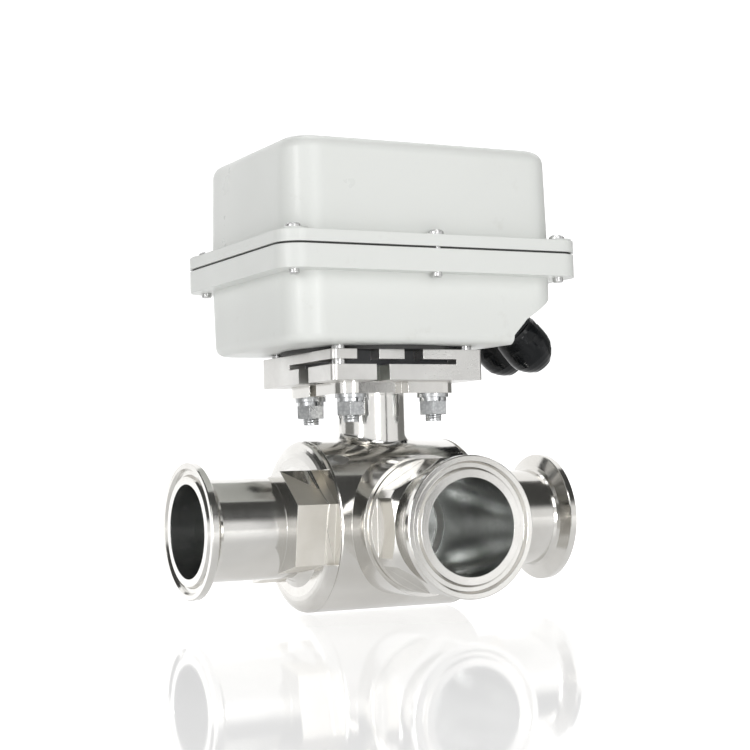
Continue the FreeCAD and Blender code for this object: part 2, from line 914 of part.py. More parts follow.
def make_stem_fittings():
    shaft = half(dim.stem_diameter)
    box_radius = half(dim.stuffing_box_diameter) - 0.05
    inner = shaft + dim.running_fit * 2
    finish(ring("thrust_washer", half(dim.stem_collar_diameter), inner,
                dim.thrust_washer_bottom, dim.thrust_washer_top))
    rings = []
    for i in range(3):
        bottom = dim.packing_bottom + dim.packing_ring_height * i
        rings.append(ring(f"packing_ring_{i + 1}", box_radius, inner,
                          bottom, bottom + dim.packing_ring_height))
    finish(group("stem_packing", rings))
    packed = dim.packing_bottom + dim.packing_ring_height * 3
    finish(ring("packing_follower", box_radius, inner + 0.1, packed, dim.follower_top))
    middle = (dim.follower_top + dim.spring_top) / 2
    thickness = 0.6
    clear = inner + 0.4
    springs = []
    for i, (rim_height, bore_height) in enumerate(
        ((dim.follower_top, middle - thickness), (dim.spring_top - thickness, middle))
    ):
        springs.append(
            turned(
                f"disc_spring_{i + 1}",
                [
                    (clear, bore_height),
                    (box_radius, rim_height),
                    (box_radius, rim_height + thickness),
                    (clear, bore_height + thickness),
                ],
            )
        )
    finish(group("disc_springs", springs))
    nut = hex_prism("stem_nut_hexagon", dim.stem_nut_flats, dim.stem_nut_bottom, dim.stem_nut_top)
    hole = cylinder("stem_nut_hole", shaft + 0.02, dim.stem_nut_bottom - 1, dim.stem_nut_top + 1)
    finish(cut("stem_nut", nut, hole))


# ---------------------------------------------------------------- bolted joint and bracket


def bolt_places():
    reach = half(dim.bolt_square)
    return [(reach * sx, reach * sy) for sx in (1, -1) for sy in (1, -1)]


def make_pad_fasteners():
    bolts, nuts, springs, flats = [], [], [], []
    shank = half(dim.bolt_diameter)
    clear = shank + 0.1
    for i, (x, y) in enumerate(bolt_places(), start=1):
        body = cylinder(f"pad_bolt_shank_{i}", shank, dim.bolt_end, dim.bracket_plate_top, x, y)
        head = cylinder(f"pad_bolt_head_{i}", half(dim.bolt_head_diameter), dim.bracket_plate_top,
                        dim.bracket_plate_top + dim.bolt_head_height, x, y)
        socket = hex_prism(f"pad_bolt_socket_{i}", 5.0, dim.bracket_plate_top + 2.2,
                           dim.bracket_plate_top + dim.bolt_head_height + 1, x, y)
        bolts.append(cut(f"pad_bolt_{i}", fuse(f"pad_bolt_blank_{i}", [body, head]), socket))
        hexagon_blank = hex_prism(f"pad_nut_hexagon_{i}", dim.nut_flats, dim.nut_bottom, dim.nut_top, x, y)
        bevel = doc.addObject("Part::Cone", f"pad_nut_bevel_{i}")
        bind(bevel, "Radius1", half(dim.nut_flats) + 0.1)
        bind(bevel, "Radius2", half(dim.nut_flats) + 0.1 + (dim.nut_top - dim.nut_bottom) * 1.4)
        bind(bevel, "Height", dim.nut_top - dim.nut_bottom)
        place(bevel, x, y, dim.nut_bottom)
        shaped = doc.addObject("Part::Common", f"pad_nut_blank_{i}")
        shaped.Base = hexagon_blank
        shaped.Tool = bevel
        hole = cylinder(f"pad_nut_hole_{i}", clear, dim.nut_bottom - 1, dim.nut_top + 1, x, y)
        nuts.append(cut(f"pad_nut_{i}", shaped, hole))
        coil = ring(f"spring_washer_ring_{i}", half(dim.spring_washer_diameter), clear + 0.1,
                    dim.nut_top, dim.spring_washer_top, x, y)
        gap = box(f"spring_washer_gap_{i}", (x - 0.5, y - dim.spring_washer_diameter, dim.nut_top - 1),
                  (x + 0.5, y, dim.spring_washer_top + 1))
        springs.append(cut(f"spring_washer_{i}", coil, gap))
        flats.append(ring(f"flat_washer_{i}", half(dim.flat_washer_diameter), clear + 0.1,
                          dim.spring_washer_top, dim.pad_bottom, x, y))
    finish(group("pad_bolts", bolts))
    finish(group("pad_nuts", nuts))
    finish(group("spring_washers", springs))
    finish(group("flat_washers", flats))


def screw_corners():
    reach = dim.bracket_screw_place
    return [(reach * sx, reach * sy) for sx in (1, -1) for sy in (1, -1)]


def make_bracket():
    side = half(dim.bracket_side)
    body = plate("mounting_bracket", rectangle(side, side, dim.bracket_corner),
                 dim.bracket_bottom, dim.bracket_top)
    deep = side - dim.bracket_groove_depth
    beyond = side + 1
    # the groove runs along the left and front faces and stops at full-height end blocks
    block = side - 11.7
    left_block = 6.0
    carve(body, [(-beyond, -beyond), (block, -beyond), (block, -deep), (-deep, -deep),
                 (-deep, left_block), (-beyond, left_block)],
          dim.bracket_plate_top, dim.bracket_groove_top)
    # the same groove on the back and right faces
    carve(body, [(beyond, beyond), (-block, beyond), (-block, deep), (deep, deep),
                 (deep, -left_block), (beyond, -left_block)],
          dim.bracket_plate_top, dim.bracket_groove_top)
    # notches in the lip above the groove and slots in the plate below it
    lip_bottom = dim.bracket_groove_top
    for side_sign in (-1, 1):
        for low, high in ((-21.8, -12.6), (-2.0, 6.0)):
            ends = sorted((low * -side_sign, high * -side_sign))
            carve(body, [(ends[0], beyond * side_sign), (ends[1], beyond * side_sign),
                         (ends[1], deep * side_sign), (ends[0], deep * side_sign)],
                  lip_bottom, dim.bracket_top)
        slot_ends = sorted((-13.8 * -side_sign, -8.4 * -side_sign))
        slot_floor = (side - dim.bracket_slot_depth) * side_sign
        carve(body, [(slot_ends[0], beyond * side_sign), (slot_ends[1], beyond * side_sign),
                     (slot_ends[1], slot_floor), (slot_ends[0], slot_floor)],
              dim.bracket_bottom, dim.bracket_plate_top)
        side_ends = sorted((-11.2 * -side_sign, -2.2 * -side_sign))
        carve(body, [(beyond * side_sign, side_ends[0]), (slot_floor, side_ends[0]),
                     (slot_floor, side_ends[1]), (beyond * side_sign, side_ends[1])],
              dim.bracket_bottom, dim.bracket_plate_top)
    drill(body, [(0, 0, half(dim.bracket_bore_diameter))], dim.bracket_bottom, dim.bracket_top)
    drill(body, [(x, y, half(dim.bolt_hole_diameter)) for x, y in bolt_places()],
          dim.bracket_bottom, dim.bracket_plate_top)
    drill(body, [(x, y, half(dim.bolt_head_diameter) + 0.6) for x, y in bolt_places()],
          dim.bracket_plate_top, dim.bracket_top)
    drill(body, [(x, y, half(dim.bracket_screw_diameter) + 0.02) for x, y in screw_corners()],
          dim.bracket_screw_end - 1, dim.bracket_top)
    return finish(body)


def make_bracket_screws():
    """Countersunk screws from the box floor down into the bracket's corners."""
    screws = []
    shank = half(dim.bracket_screw_diameter)
    floor = dim.box_bottom + dim.wall
    for i, (x, y) in enumerate(screw_corners(), start=1):
        body = turned(
            f"bracket_screw_{i}",
            [
                (0, dim.bracket_screw_end),
                (shank - 0.5, dim.bracket_screw_end),
                (shank, dim.bracket_screw_end + 0.5),
                (shank, floor - 2.2),
                (half(dim.bracket_screw_head), floor - 0.2),
                (half(dim.bracket_screw_head), floor - 0.05),
                (0, floor - 0.05),
            ],
        )
        carve(body, hexagon(3.0), floor - 1.8, floor)
        screws.append(place(body, x, y, 0))
    return finish(group("bracket_screws", screws))


# ---------------------------------------------------------------- actuator box


def drafted_block(label, inset, start, end):
    """A block that narrows from the start height to the end height, about the box centre."""
    body = new_body(label)
    sketch = new_sketch(body, "XY_Plane", start)
    add_outline(sketch, rectangle(half(dim.wall_length) - inset, half(dim.wall_width) - inset,
                                  dim.wall_corner - inset, dim.box_centre))
    upward = as_size(end).number > as_size(start).number
    tall = as_size(end) - start if upward else as_size(start) - end
    pad = extrude(body, sketch, tall, upward)
    bind(pad, "TaperAngle", -dim.draft_angle)
    doc.recompute()
    return body


def slope_cut(body, inside):
    """Cuts the lower right-hand edge along the two sloping faces above the glands."""
    left = dim.slope_wall_in * inside
    up = dim.slope_wall_up * inside
    right = dim.slope_top_out + 15
    low = dim.slope_foot - 10
    rise = (dim.slope_top - dim.slope_bend) / (dim.slope_top_out - dim.slope_bend_out)
    sketch = add_outline(
        new_sketch(body, "XZ_Plane"),
        [
            (right - left, dim.slope_top + up + rise.number * 15),
            (dim.slope_bend_out - left, dim.slope_bend + up),
            (dim.slope_foot_out - left, dim.slope_foot + up),
            (dim.slope_foot_out - left, low),
            (right - left, low),
        ],
    )
    extrude(body, sketch, dim.flange_width + 10, cut=True, both_ways=True)


def cover_screw_places():
    corners = [(dim.box_centre + dim.corner_screw_along * sx, dim.corner_screw_across * sy)
               for sx in (1, -1) for sy in (1, -1)]
    middles = [(dim.box_centre, dim.middle_screw_across * sy) for sy in (1, -1)]
    return corners, middles


def flange_corners(inset=0.0):
    return rectangle(half(dim.flange_length) - inset, half(dim.flange_width) - inset,
                     dim.flange_corner - inset, dim.box_centre)


def near_height(height):
    """A test for level edges at one height."""
    def chosen(edge):
        box_of_edge = edge.BoundBox
        return abs(box_of_edge.ZMin - height) < 1e-3 and abs(box_of_edge.ZMax - height) < 1e-3
    return chosen


def make_lower_housing():
    outer = drafted_block("lower_housing_outside", 0, dim.flange_bottom, dim.box_bottom)
    round_edges(outer, dim.bottom_rounding, near_height(dim.box_bottom.number))
    slope_cut(outer, 0)
    plate(None, flange_corners(), dim.flange_bottom, dim.parting, body=outer)
    floor = dim.box_bottom + dim.wall
    inner = drafted_block("lower_housing_inside", dim.wall, dim.parting + 1, floor)
    slope_cut(inner, 1)
    bosses = [along_gland(f"gland_boss_{i}", side, half(dim.gland_boss_diameter), -14, 0)
              for i, side in enumerate((-1, 1), start=1)]
    outside = fuse("lower_housing_solid", [outer] + bosses)
    spot_faces = [along_gland(f"gland_spot_face_{i}", side, half(dim.gland_boss_diameter) - 1,
                              -dim.gland_wall - 16, -dim.gland_wall)
                  for i, side in enumerate((-1, 1), start=1)]
    cavity = fuse("lower_housing_cavity", [inner] + spot_faces)
    shell = cut("lower_housing_shell", outside, cavity)
    hub = cylinder("lower_housing_hub", half(dim.hub_diameter), dim.box_bottom, dim.hub_top)
    axle_bosses = [cylinder(f"axle_boss_{i}", 5.0, dim.box_bottom, floor + 3.0, x, y)
                   for i, (x, y) in enumerate(axle_places(), start=1)]
    walls = fuse("lower_housing_walls", [shell, hub] + axle_bosses)
    holes = [cylinder("bush_bore", half(dim.bush_bore_diameter), dim.box_bottom - 1, dim.hub_top + 1)]
    for i, (x, y) in enumerate(axle_places(), start=1):
        holes.append(cylinder(f"axle_seat_{i}", half(dim.axle_diameter) + 0.02, floor - 1.5,
                              floor + 4, x, y))
    corners, middles = cover_screw_places()
    for i, (x, y) in enumerate(corners + middles, start=1):
        holes.append(cylinder(f"flange_hole_{i}", half(dim.cover_screw_diameter) + 0.02,
                              dim.flange_bottom - 1, dim.parting + 1, x, y))
    for i, (x, y) in enumerate(screw_corners(), start=1):
        holes.append(cylinder(f"floor_hole_{i}", half(dim.bracket_screw_diameter) + 0.2,
                              dim.box_bottom - 1, floor + 1, x, y))
        sink = doc.addObject("Part::Cone", f"floor_sink_{i}")
        bind(sink, "Radius1", half(dim.bracket_screw_diameter) + 0.2)
        bind(sink, "Radius2", half(dim.bracket_screw_head) + 0.5)
        bind(sink, "Height", 2.3)
        holes.append(place(sink, x, y, floor - 2.3))
    for i, side in enumerate((-1, 1), start=1):
        holes.append(along_gland(f"gland_hole_{i}", side, half(dim.gland_thread_diameter) + 0.1, -12, 6))
    return finish(cut("lower_housing", walls, fuse("lower_housing_holes", holes)))


def make_upper_cover():
    outer = drafted_block("upper_cover_outside", 0, dim.cover_bottom, dim.cover_top)
    round_edges(outer, dim.cover_rounding, near_height(dim.cover_top.number))
    plate(None, flange_corners(), dim.cover_bottom, dim.cover_flange_top, body=outer)
    ceiling = dim.cover_top - dim.wall
    inner = drafted_block("upper_cover_inside", dim.wall, dim.cover_bottom - 1, ceiling)
    round_edges(inner, dim.cover_rounding - dim.wall + 1, near_height(ceiling.number))
    shell = cut("upper_cover_shell", outer, inner)
    corners, middles = cover_screw_places()
    bosses = [cylinder(f"screw_boss_{i}", half(dim.screw_boss_diameter), dim.cover_bottom,
                       dim.cover_flange_top + dim.screw_boss_height, x, y)
              for i, (x, y) in enumerate(corners, start=1)]
    walls = fuse("upper_cover_walls", [shell] + bosses)
    holes = [cylinder(f"cover_hole_{i}", half(dim.cover_screw_diameter) + 0.2,
                      dim.cover_bottom - 1, dim.cover_flange_top + 3, x, y)
             for i, (x, y) in enumerate(corners + middles, start=1)]
    recess = half(dim.window_diameter) + 0.1
    holes.append(cylinder("window_recess", recess, dim.cover_top - dim.window_thickness, dim.cover_top + 1))
    holes.append(cylinder("window_opening", half(dim.window_hole_diameter), ceiling - 1, dim.cover_top + 1))
    # seats of the middle screw heads, which stand close to the wall
    for i, (x_middle, y_middle) in enumerate(reversed(middles), start=1):
        holes.append(cylinder(f"middle_head_seat_{i}", half(dim.cover_screw_head) + 0.15,
                              dim.cover_flange_top, dim.cover_flange_top + 3, x_middle, y_middle))
    return finish(cut("upper_cover", walls, fuse("upper_cover_holes", holes)))


def make_cover_gasket():
    inset = 1.0
    body = plate("cover_gasket", flange_corners(inset), dim.parting, dim.cover_bottom)
    carve(body, rectangle(half(dim.wall_length) - dim.wall, half(dim.wall_width) - dim.wall,
                          dim.wall_corner - dim.wall, dim.box_centre), dim.parting, dim.cover_bottom)
    corners, middles = cover_screw_places()
    drill(body, [(x, y, half(dim.cover_screw_diameter) + 0.2) for x, y in corners + middles],
          dim.parting, dim.cover_bottom)
    return finish(body)


def make_cover_screws():
    screws = []
    shank = half(dim.cover_screw_diameter)
    head = half(dim.cover_screw_head)
    corners, middles = cover_screw_places()
    seats = [(x, y, dim.cover_flange_top + dim.screw_boss_height) for x, y in corners]
    seats += [(x, y, dim.cover_flange_top) for x, y in middles]
    for i, (x, y, seat) in enumerate(seats, start=1):
        top = seat + dim.cover_screw_head_height
        body = turned(
            f"cover_screw_{i}",
            [
                (0, dim.cover_screw_end),
                (shank - 0.4, dim.cover_screw_end),
                (shank, dim.cover_screw_end + 0.4),
                (shank, seat),
                (head, seat),
                (head, top - 0.7),
                (head - 0.8, top),
                (0, top),
            ],
        )
        blade = [(as_size(-0.4), as_size(-1.8)), (as_size(0.4), as_size(-1.8)),
                 (as_size(0.4), as_size(1.8)), (as_size(-0.4), as_size(1.8))]
        carve(body, blade, top - 1.1, top)
        carve(body, [(b, a) for a, b in blade], top - 1.1, top)
        screws.append(place(body, x, y, 0))
    return finish(group("cover_screws", screws))


# ---------------------------------------------------------------- output shaft and gear train

TOWARDS_INTERMEDIATE = 147.0
TOWARDS_FIRST = -100.1
TOWARDS_MOTOR = -66.4


def step_from(start, distance, degrees):
    angle = math.radians(degrees)
    return (start[0] + distance * math.cos(angle), start[1] + distance * math.sin(angle))


def gear_centres():
    """Centres of the output, intermediate and first gears and of the motor, from the pitch circles."""
    zero = (as_size(0), as_size(0))
    teeth = dim.pinion_teeth
    mesh_out = dim.output_module * (dim.output_teeth + teeth) / 2
    mesh_mid = dim.intermediate_module * (dim.intermediate_teeth + teeth) / 2
    mesh_first = dim.first_module * (dim.first_teeth + teeth) / 2
    intermediate = step_from(zero, mesh_out, TOWARDS_INTERMEDIATE)
    first = step_from(intermediate, mesh_mid, TOWARDS_FIRST)
    motor = step_from(first, mesh_first, TOWARDS_MOTOR)
    return zero, intermediate, first, motor


def axle_places():
    centres = gear_centres()
    return [centres[1], centres[2]]


def make_output_shaft():
    boss = half(dim.shaft_boss_diameter)
    seat = half(dim.gear_seat_diameter)
    upper = half(dim.shaft_diameter)
    body = turned(
        "output_shaft",
        [
            (0, dim.shaft_bottom),
            (boss - 0.6, dim.shaft_bottom),
            (boss, dim.shaft_bottom + 0.6),
            (boss, dim.shaft_shoulder),
            (seat, dim.shaft_shoulder),
            (seat, dim.gear_seat_top),
            (upper, dim.gear_seat_top),
            (upper, dim.shaft_top - 0.6),
            (upper - 0.6, dim.shaft_top),
            (0, dim.shaft_top),
        ],
    )
    socket = half(dim.socket_square)
    carve(body, rectangle(socket, socket), dim.shaft_bottom, dim.socket_top)
    return finish(body)


def make_drive_sleeve():
    outer = half(dim.sleeve_square)
    inner = half(dim.stem_square) + 0.05
    body = plate("drive_sleeve", rectangle(outer, outer), dim.sleeve_bottom, dim.sleeve_top)
    carve(body, rectangle(inner, inner), dim.sleeve_bottom, dim.sleeve_top)
    return finish(body)


def make_bushes():
    boss = half(dim.shaft_boss_diameter) + dim.running_fit
    bore = half(dim.bush_bore_diameter)
    finish(ring("shaft_seal", bore, boss, dim.box_bottom, dim.seal_top))
    finish(
        turned(
            "lower_bush",
            [
                (boss, dim.seal_top),
                (bore, dim.seal_top),
                (bore, dim.hub_top),
                (half(dim.bush_flange_diameter), dim.hub_top),
                (half(dim.bush_flange_diameter), dim.hub_top + dim.bush_flange_height),
                (boss, dim.hub_top + dim.bush_flange_height),
            ],
        )
    )
    upper = half(dim.shaft_diameter) + dim.running_fit
    plate_top = dim.plate_bottom + dim.plate_thickness
    finish(
        turned(
            "upper_bush",
            [
                (upper, dim.plate_bottom - 1.0),
                (upper + 4.5, dim.plate_bottom - 1.0),
                (upper + 4.5, dim.plate_bottom),
                (upper + 2.5, dim.plate_bottom),
                (upper + 2.5, plate_top + 1.0),
                (upper, plate_top + 1.0),
            ],
        )
    )


PRESSURE_ANGLE = math.radians(25)
BACKLASH = 0.11
FLANK_STEPS = 4


def gear_outline(teeth, module, phase):
    """Corners of an involute gear with one tooth centred on the phase angle."""
    pitch = teeth * module / 2
    base = pitch * math.cos(PRESSURE_ANGLE)
    tip = pitch + 0.95 * module
    root = pitch - 1.25 * module
    involute_at_pitch = math.tan(PRESSURE_ANGLE) - PRESSURE_ANGLE
    tooth_half = math.pi / (2 * teeth) - BACKLASH * module / (2 * pitch)
    start = max(base, root)
    flank = [(root, tooth_half + involute_at_pitch)] if base > root else []
    for i in range(FLANK_STEPS + 1):
        radius = start + (tip - start) * i / FLANK_STEPS
        pressure = math.acos(min(1.0, base / radius))
        swept = math.tan(pressure) - pressure
        flank.append((radius, tooth_half + involute_at_pitch - swept))
    corners = []
    for tooth in range(teeth):
        centre = math.radians(phase) + tooth * 2 * math.pi / teeth
        rising = [(radius, centre - spread) for radius, spread in flank]
        falling = [(radius, centre + spread) for radius, spread in reversed(flank)]
        corners += rising + falling
    return [Vector(radius * math.cos(angle), radius * math.sin(angle), 0) for radius, angle in corners]


def gear_solid(teeth, module, phase, bottom, top):
    corners = gear_outline(teeth, module, phase)
    face = Part.Face(Part.makePolygon(corners + [corners[0]]))
    face.translate(Vector(0, 0, bottom))
    return face.extrude(Vector(0, 0, top - bottom))


def computed(label, shape, centre):
    part = doc.addObject("Part::Feature", label)
    part.Shape = shape.removeSplitter()
    part.Placement = Placement(Vector(centre[0].number, centre[1].number, 0), Rotation())
    return finish(part)


def make_gears():
    """Involute gears, set so that each mesh starts with a tooth on the line of centres."""
    zero, intermediate, first, motor = gear_centres()
    small = int(dim.pinion_teeth.number)
    half_tooth = 180 / small
    wheel = gear_solid(int(dim.output_teeth.number), dim.output_module.number, TOWARDS_INTERMEDIATE,
                       dim.output_gear_bottom.number, dim.output_gear_top.number)
    seat = Part.makeCylinder(dim.gear_seat_diameter.number / 2 + 0.01, 20,
                             Vector(0, 0, dim.output_gear_bottom.number - 1))
    lightening = [
        Part.makeCylinder(4.0, 20, Vector(16.5 * math.cos(a), 16.5 * math.sin(a),
                                          dim.output_gear_bottom.number - 1))
        for a in (math.radians(60 * i) for i in range(6))
    ]
    computed("output_gear", wheel.cut(seat.fuse(lightening)), zero)

    bore = dim.axle_diameter.number / 2 + dim.running_fit.number
    low = dim.box_bottom.number + dim.wall.number + 3.0 + dim.gear_gap.number
    high = dim.gear_hub_top.number
    pinion = gear_solid(small, dim.output_module.number, TOWARDS_INTERMEDIATE + 180 + half_tooth,
                        low, dim.intermediate_wheel_bottom.number)
    big = gear_solid(int(dim.intermediate_teeth.number), dim.intermediate_module.number, TOWARDS_FIRST,
                     dim.intermediate_wheel_bottom.number, dim.intermediate_wheel_top.number)
    hub = Part.makeCylinder(4.0, high - low, Vector(0, 0, low))
    axle = Part.makeCylinder(bore, 40, Vector(0, 0, low - 5))
    computed("intermediate_gear", pinion.fuse([big, hub]).cut(axle), intermediate)

    pinion = gear_solid(small, dim.intermediate_module.number, TOWARDS_FIRST + 180 + half_tooth,
                        dim.intermediate_wheel_bottom.number - 0.4, dim.first_pinion_top.number)
    big = gear_solid(int(dim.first_teeth.number), dim.first_module.number, TOWARDS_MOTOR,
                     dim.first_wheel_bottom.number, dim.first_wheel_top.number)
    hub = Part.makeCylinder(3.5, high - low, Vector(0, 0, low))
    computed("first_gear", pinion.fuse([big, hub]).cut(axle), first)

    pinion = gear_solid(small, dim.first_module.number, TOWARDS_MOTOR + 180 + half_tooth,
                        dim.first_wheel_bottom.number - 0.5, dim.first_wheel_top.number + 0.5)
    shaft_low = dim.first_wheel_bottom.number - 0.5
    shaft = Part.makeCylinder(dim.motor_shaft_diameter.number / 2,
                              dim.plate_bottom.number + dim.plate_thickness.number + 4 - shaft_low,
                              Vector(0, 0, shaft_low))
    computed("motor_pinion", pinion.fuse(shaft), motor)


def pillar_places():
    return [(as_size(-42.0), as_size(32.5)), (as_size(-41.0), as_size(-30.0)),
            (as_size(32.0), as_size(33.8)), (as_size(32.0), as_size(-33.8))]


def make_gear_frame():
    floor = dim.box_bottom + dim.wall
    plate_top = dim.plate_bottom + dim.plate_thickness
    half_length = (dim.plate_left + dim.plate_right) / 2
    centre = (dim.plate_right - dim.plate_left) / 2
    body = plate("gear_plate", rectangle(half_length, dim.plate_half_width, dim.plate_corner, centre),
                 dim.plate_bottom, plate_top)
    _, intermediate, first, motor = gear_centres()
    drill(body, [(0, 0, half(dim.shaft_diameter) + dim.running_fit + 2.5 + 0.02)],
          dim.plate_bottom, plate_top)
    drill(body, [(x, y, half(dim.axle_diameter) + 0.02) for x, y in (intermediate, first)],
          dim.plate_bottom, plate_top)
    drill(body, [(motor[0], motor[1], half(dim.motor_boss_diameter) + 0.1)], dim.plate_bottom, plate_top)
    drill(body, [(x, y, half(dim.small_screw_diameter) + 0.1) for x, y in pillar_places()],
          dim.plate_bottom, plate_top)
    drill(body, [(x, y, half(dim.small_screw_diameter) + 0.1)
                 for x, y in motor_screw_places() + board_screw_places()], dim.plate_bottom, plate_top)
    finish(body)
    axles = [cylinder(f"gear_axle_{i}", half(dim.axle_diameter), floor - 1.5, plate_top, x, y)
             for i, (x, y) in enumerate((intermediate, first), start=1)]
    finish(group("gear_axles", axles))
    pillars, screws = [], []
    shank = half(dim.small_screw_diameter)
    for i, (x, y) in enumerate(pillar_places(), start=1):
        post = cylinder(f"pillar_post_{i}", half(dim.pillar_diameter), floor, dim.plate_bottom, x, y)
        hole = cylinder(f"pillar_hole_{i}", shank + 0.02, dim.plate_bottom - 9, dim.plate_bottom + 1, x, y)
        pillars.append(cut(f"plate_pillar_{i}", post, hole))
        screws.append(small_screw(f"plate_screw_{i}", plate_top, x, y))
    finish(group("plate_pillars", pillars))
    return screws


def small_screw(name, seat, x, y):
    """An M3 cap screw whose head stands on the seat height."""
    seat = as_size(seat)
    top = seat + dim.small_head_height
    shank = cylinder(f"{name}_shank", half(dim.small_screw_diameter),
                     seat - dim.small_screw_length, seat + 0.5, x, y)
    head = cylinder(f"{name}_head", half(dim.small_head_diameter), seat, top, x, y)
    socket = hex_prism(f"{name}_socket", as_size(2.5), top - 1.3, top + 1, x, y)
    return cut(name, fuse(f"{name}_blank", [shank, head]), socket)


def motor_screw_places():
    motor = gear_centres()[3]
    sideways = TOWARDS_MOTOR + 90
    return [step_from(motor, as_size(9.0), sideways), step_from(motor, as_size(9.0), sideways + 180)]


def make_motor():
    motor = gear_centres()[3]
    plate_top = dim.plate_bottom + dim.plate_thickness
    can = half(dim.motor_diameter)
    top = plate_top + dim.motor_length
    body = turned(
        "motor",
        [
            (0, dim.plate_bottom + 0.5),
            (half(dim.motor_boss_diameter), dim.plate_bottom + 0.5),
            (half(dim.motor_boss_diameter), plate_top),
            (can - 1.0, plate_top),
            (can, plate_top + 1.0),
            (can, top - 8.0),
            (can - 1.2, top - 8.0),
            (can - 1.2, top - 1.0),
            (can - 2.2, top),
            (5.0, top),
            (5.0, top + 2.0),
            (0, top + 2.0),
        ],
    )
    drill(body, [(0, 0, half(dim.motor_shaft_diameter) + dim.running_fit)],
          dim.plate_bottom + 0.5, plate_top + 4.5)
    sideways = math.radians(TOWARDS_MOTOR + 90)
    for sign in (1, -1):
        drill(body, [(as_size(9.0 * sign * math.cos(sideways)), as_size(9.0 * sign * math.sin(sideways)),
                      half(dim.small_screw_diameter) + 0.02)], plate_top, plate_top + 5)
    place(body, motor[0], motor[1], 0)
    finish(body)
    screws = []
    for i, (x, y) in enumerate(motor_screw_places(), start=1):
        screws.append(cylinder(f"motor_screw_{i}", half(dim.small_screw_diameter),
                               dim.plate_bottom + 0.1, plate_top + 4.5, x, y))
    finish(group("motor_screws", screws))
    top = plate_top + dim.capacitor_length
    x, y = as_size(9.0), as_size(25.5)
    can = turned(
        "motor_capacitor",
        [
            (0, plate_top),
            (half(dim.capacitor_diameter), plate_top),
            (half(dim.capacitor_diameter), top - 1.2),
            (half(dim.capacitor_diameter) - 1.2, top),
            (half(dim.capacitor_diameter) - 2.5, top),
            (half(dim.capacitor_diameter) - 3.0, top - 0.8),
            (0, top - 0.8),
        ],
    )
    finish(place(can, x, y, 0))


# ---------------------------------------------------------------- limit cams and switches


def make_cam(label, bottom, lobe_centre):
    """A round cam with one raised lobe, pressed on the output shaft."""
    top = bottom + dim.cam_thickness
    disc = cylinder(f"{label}_disc", half(dim.cam_diameter), bottom, top)
    lobe = cylinder(f"{label}_lobe", half(dim.lobe_diameter), bottom, top)
    lobe.Angle = 50
    lobe.Placement = Placement(Vector(0, 0, bottom.number), Rotation(Vector(0, 0, 1), lobe_centre - 25))
    bind(lobe, "Placement.Base.z", bottom)
    hole = cylinder(f"{label}_hole", half(dim.shaft_diameter) + 0.01, bottom - 1, top + 1)
    return finish(cut(label, fuse(f"{label}_blank", [disc, lobe]), hole))


def make_switch(prefix, bottom):
    """A snap switch beside the cam, with its spring lever."""
    face = dim.switch_face
    back = face + dim.switch_depth
    reach = half(dim.switch_length)
    case = box(f"{prefix}_case", (face, -reach, bottom), (back, reach, bottom + dim.switch_height))
    holes = [cylinder(f"{prefix}_hole_{i}", 1.1, bottom - 1, bottom + dim.switch_height + 1,
                      back - 2.9, y) for i, y in enumerate((-4.75, 4.75), start=1)]
    pins = [box(f"{prefix}_terminal_{i}", (back - 0.01, y - 1.2, bottom + 2.9),
                (back + 4.0, y + 1.2, bottom + 3.5))
            for i, y in enumerate((as_size(-8.0), as_size(0.5), as_size(8.0)), start=1)]
    body = cut(f"{prefix}_drilled", case, fuse(f"{prefix}_holes", holes))
    finish(fuse(f"{prefix}_switch", [body] + pins))
    middle = bottom + dim.switch_height / 2
    low = middle - dim.lever_width / 2
    high = middle + dim.lever_width / 2
    left = dim.lever_place
    blade = box(f"{prefix}_blade", (left + 0.6, -8.5, low), (left + 0.6 + dim.lever_thickness, 8.8, high))
    nose = cylinder(f"{prefix}_nose", 0.8, low, high, left + 0.8, 0)
    eye = cylinder(f"{prefix}_eye", 0.9, low, high, face - 1.3, 8.5)
    foot = box(f"{prefix}_foot", (left + 0.6, 8.2, low), (face - 1.3, 8.8, high))
    finish(fuse(f"{prefix}_lever", [blade, nose, foot, eye]))


def make_switch_bracket():
    plate_top = dim.plate_bottom + dim.plate_thickness
    face = dim.switch_face
    back = face + dim.switch_depth
    reach = half(dim.switch_length)
    top = dim.closed_switch_bottom
    block = box("switch_bracket_block", (face, -reach, plate_top), (back, reach, top))
    window = box("switch_bracket_window", (face - 1, -reach + 3.0, plate_top + 1.2),
                 (back + 1, reach - 3.0, top - 1.2))
    holes = [cylinder(f"switch_bracket_hole_{i}", 1.02, plate_top - 1, top + 1, back - 2.9, y)
             for i, y in enumerate((-4.75, 4.75), start=1)]
    finish(cut("switch_bracket", block, fuse("switch_bracket_gaps", [window] + holes)))
    screw_top = dim.open_switch_bottom + dim.switch_height
    screws = []
    for i, y in enumerate((-4.75, 4.75), start=1):
        shank = cylinder(f"switch_screw_shank_{i}", 1.0, plate_top, screw_top, back - 2.9, y)
        head = cylinder(f"switch_screw_head_{i}", 1.9, screw_top, screw_top + 1.4, back - 2.9, y)
        screws.append(fuse(f"switch_screw_{i}", [shank, head]))
    finish(group("switch_screws", screws))


# ---------------------------------------------------------------- circuit board


def board_screw_places():
    return [(dim.board_left + 3.0, (dim.board_half_width - 4.0) * side) for side in (-1, 1)]


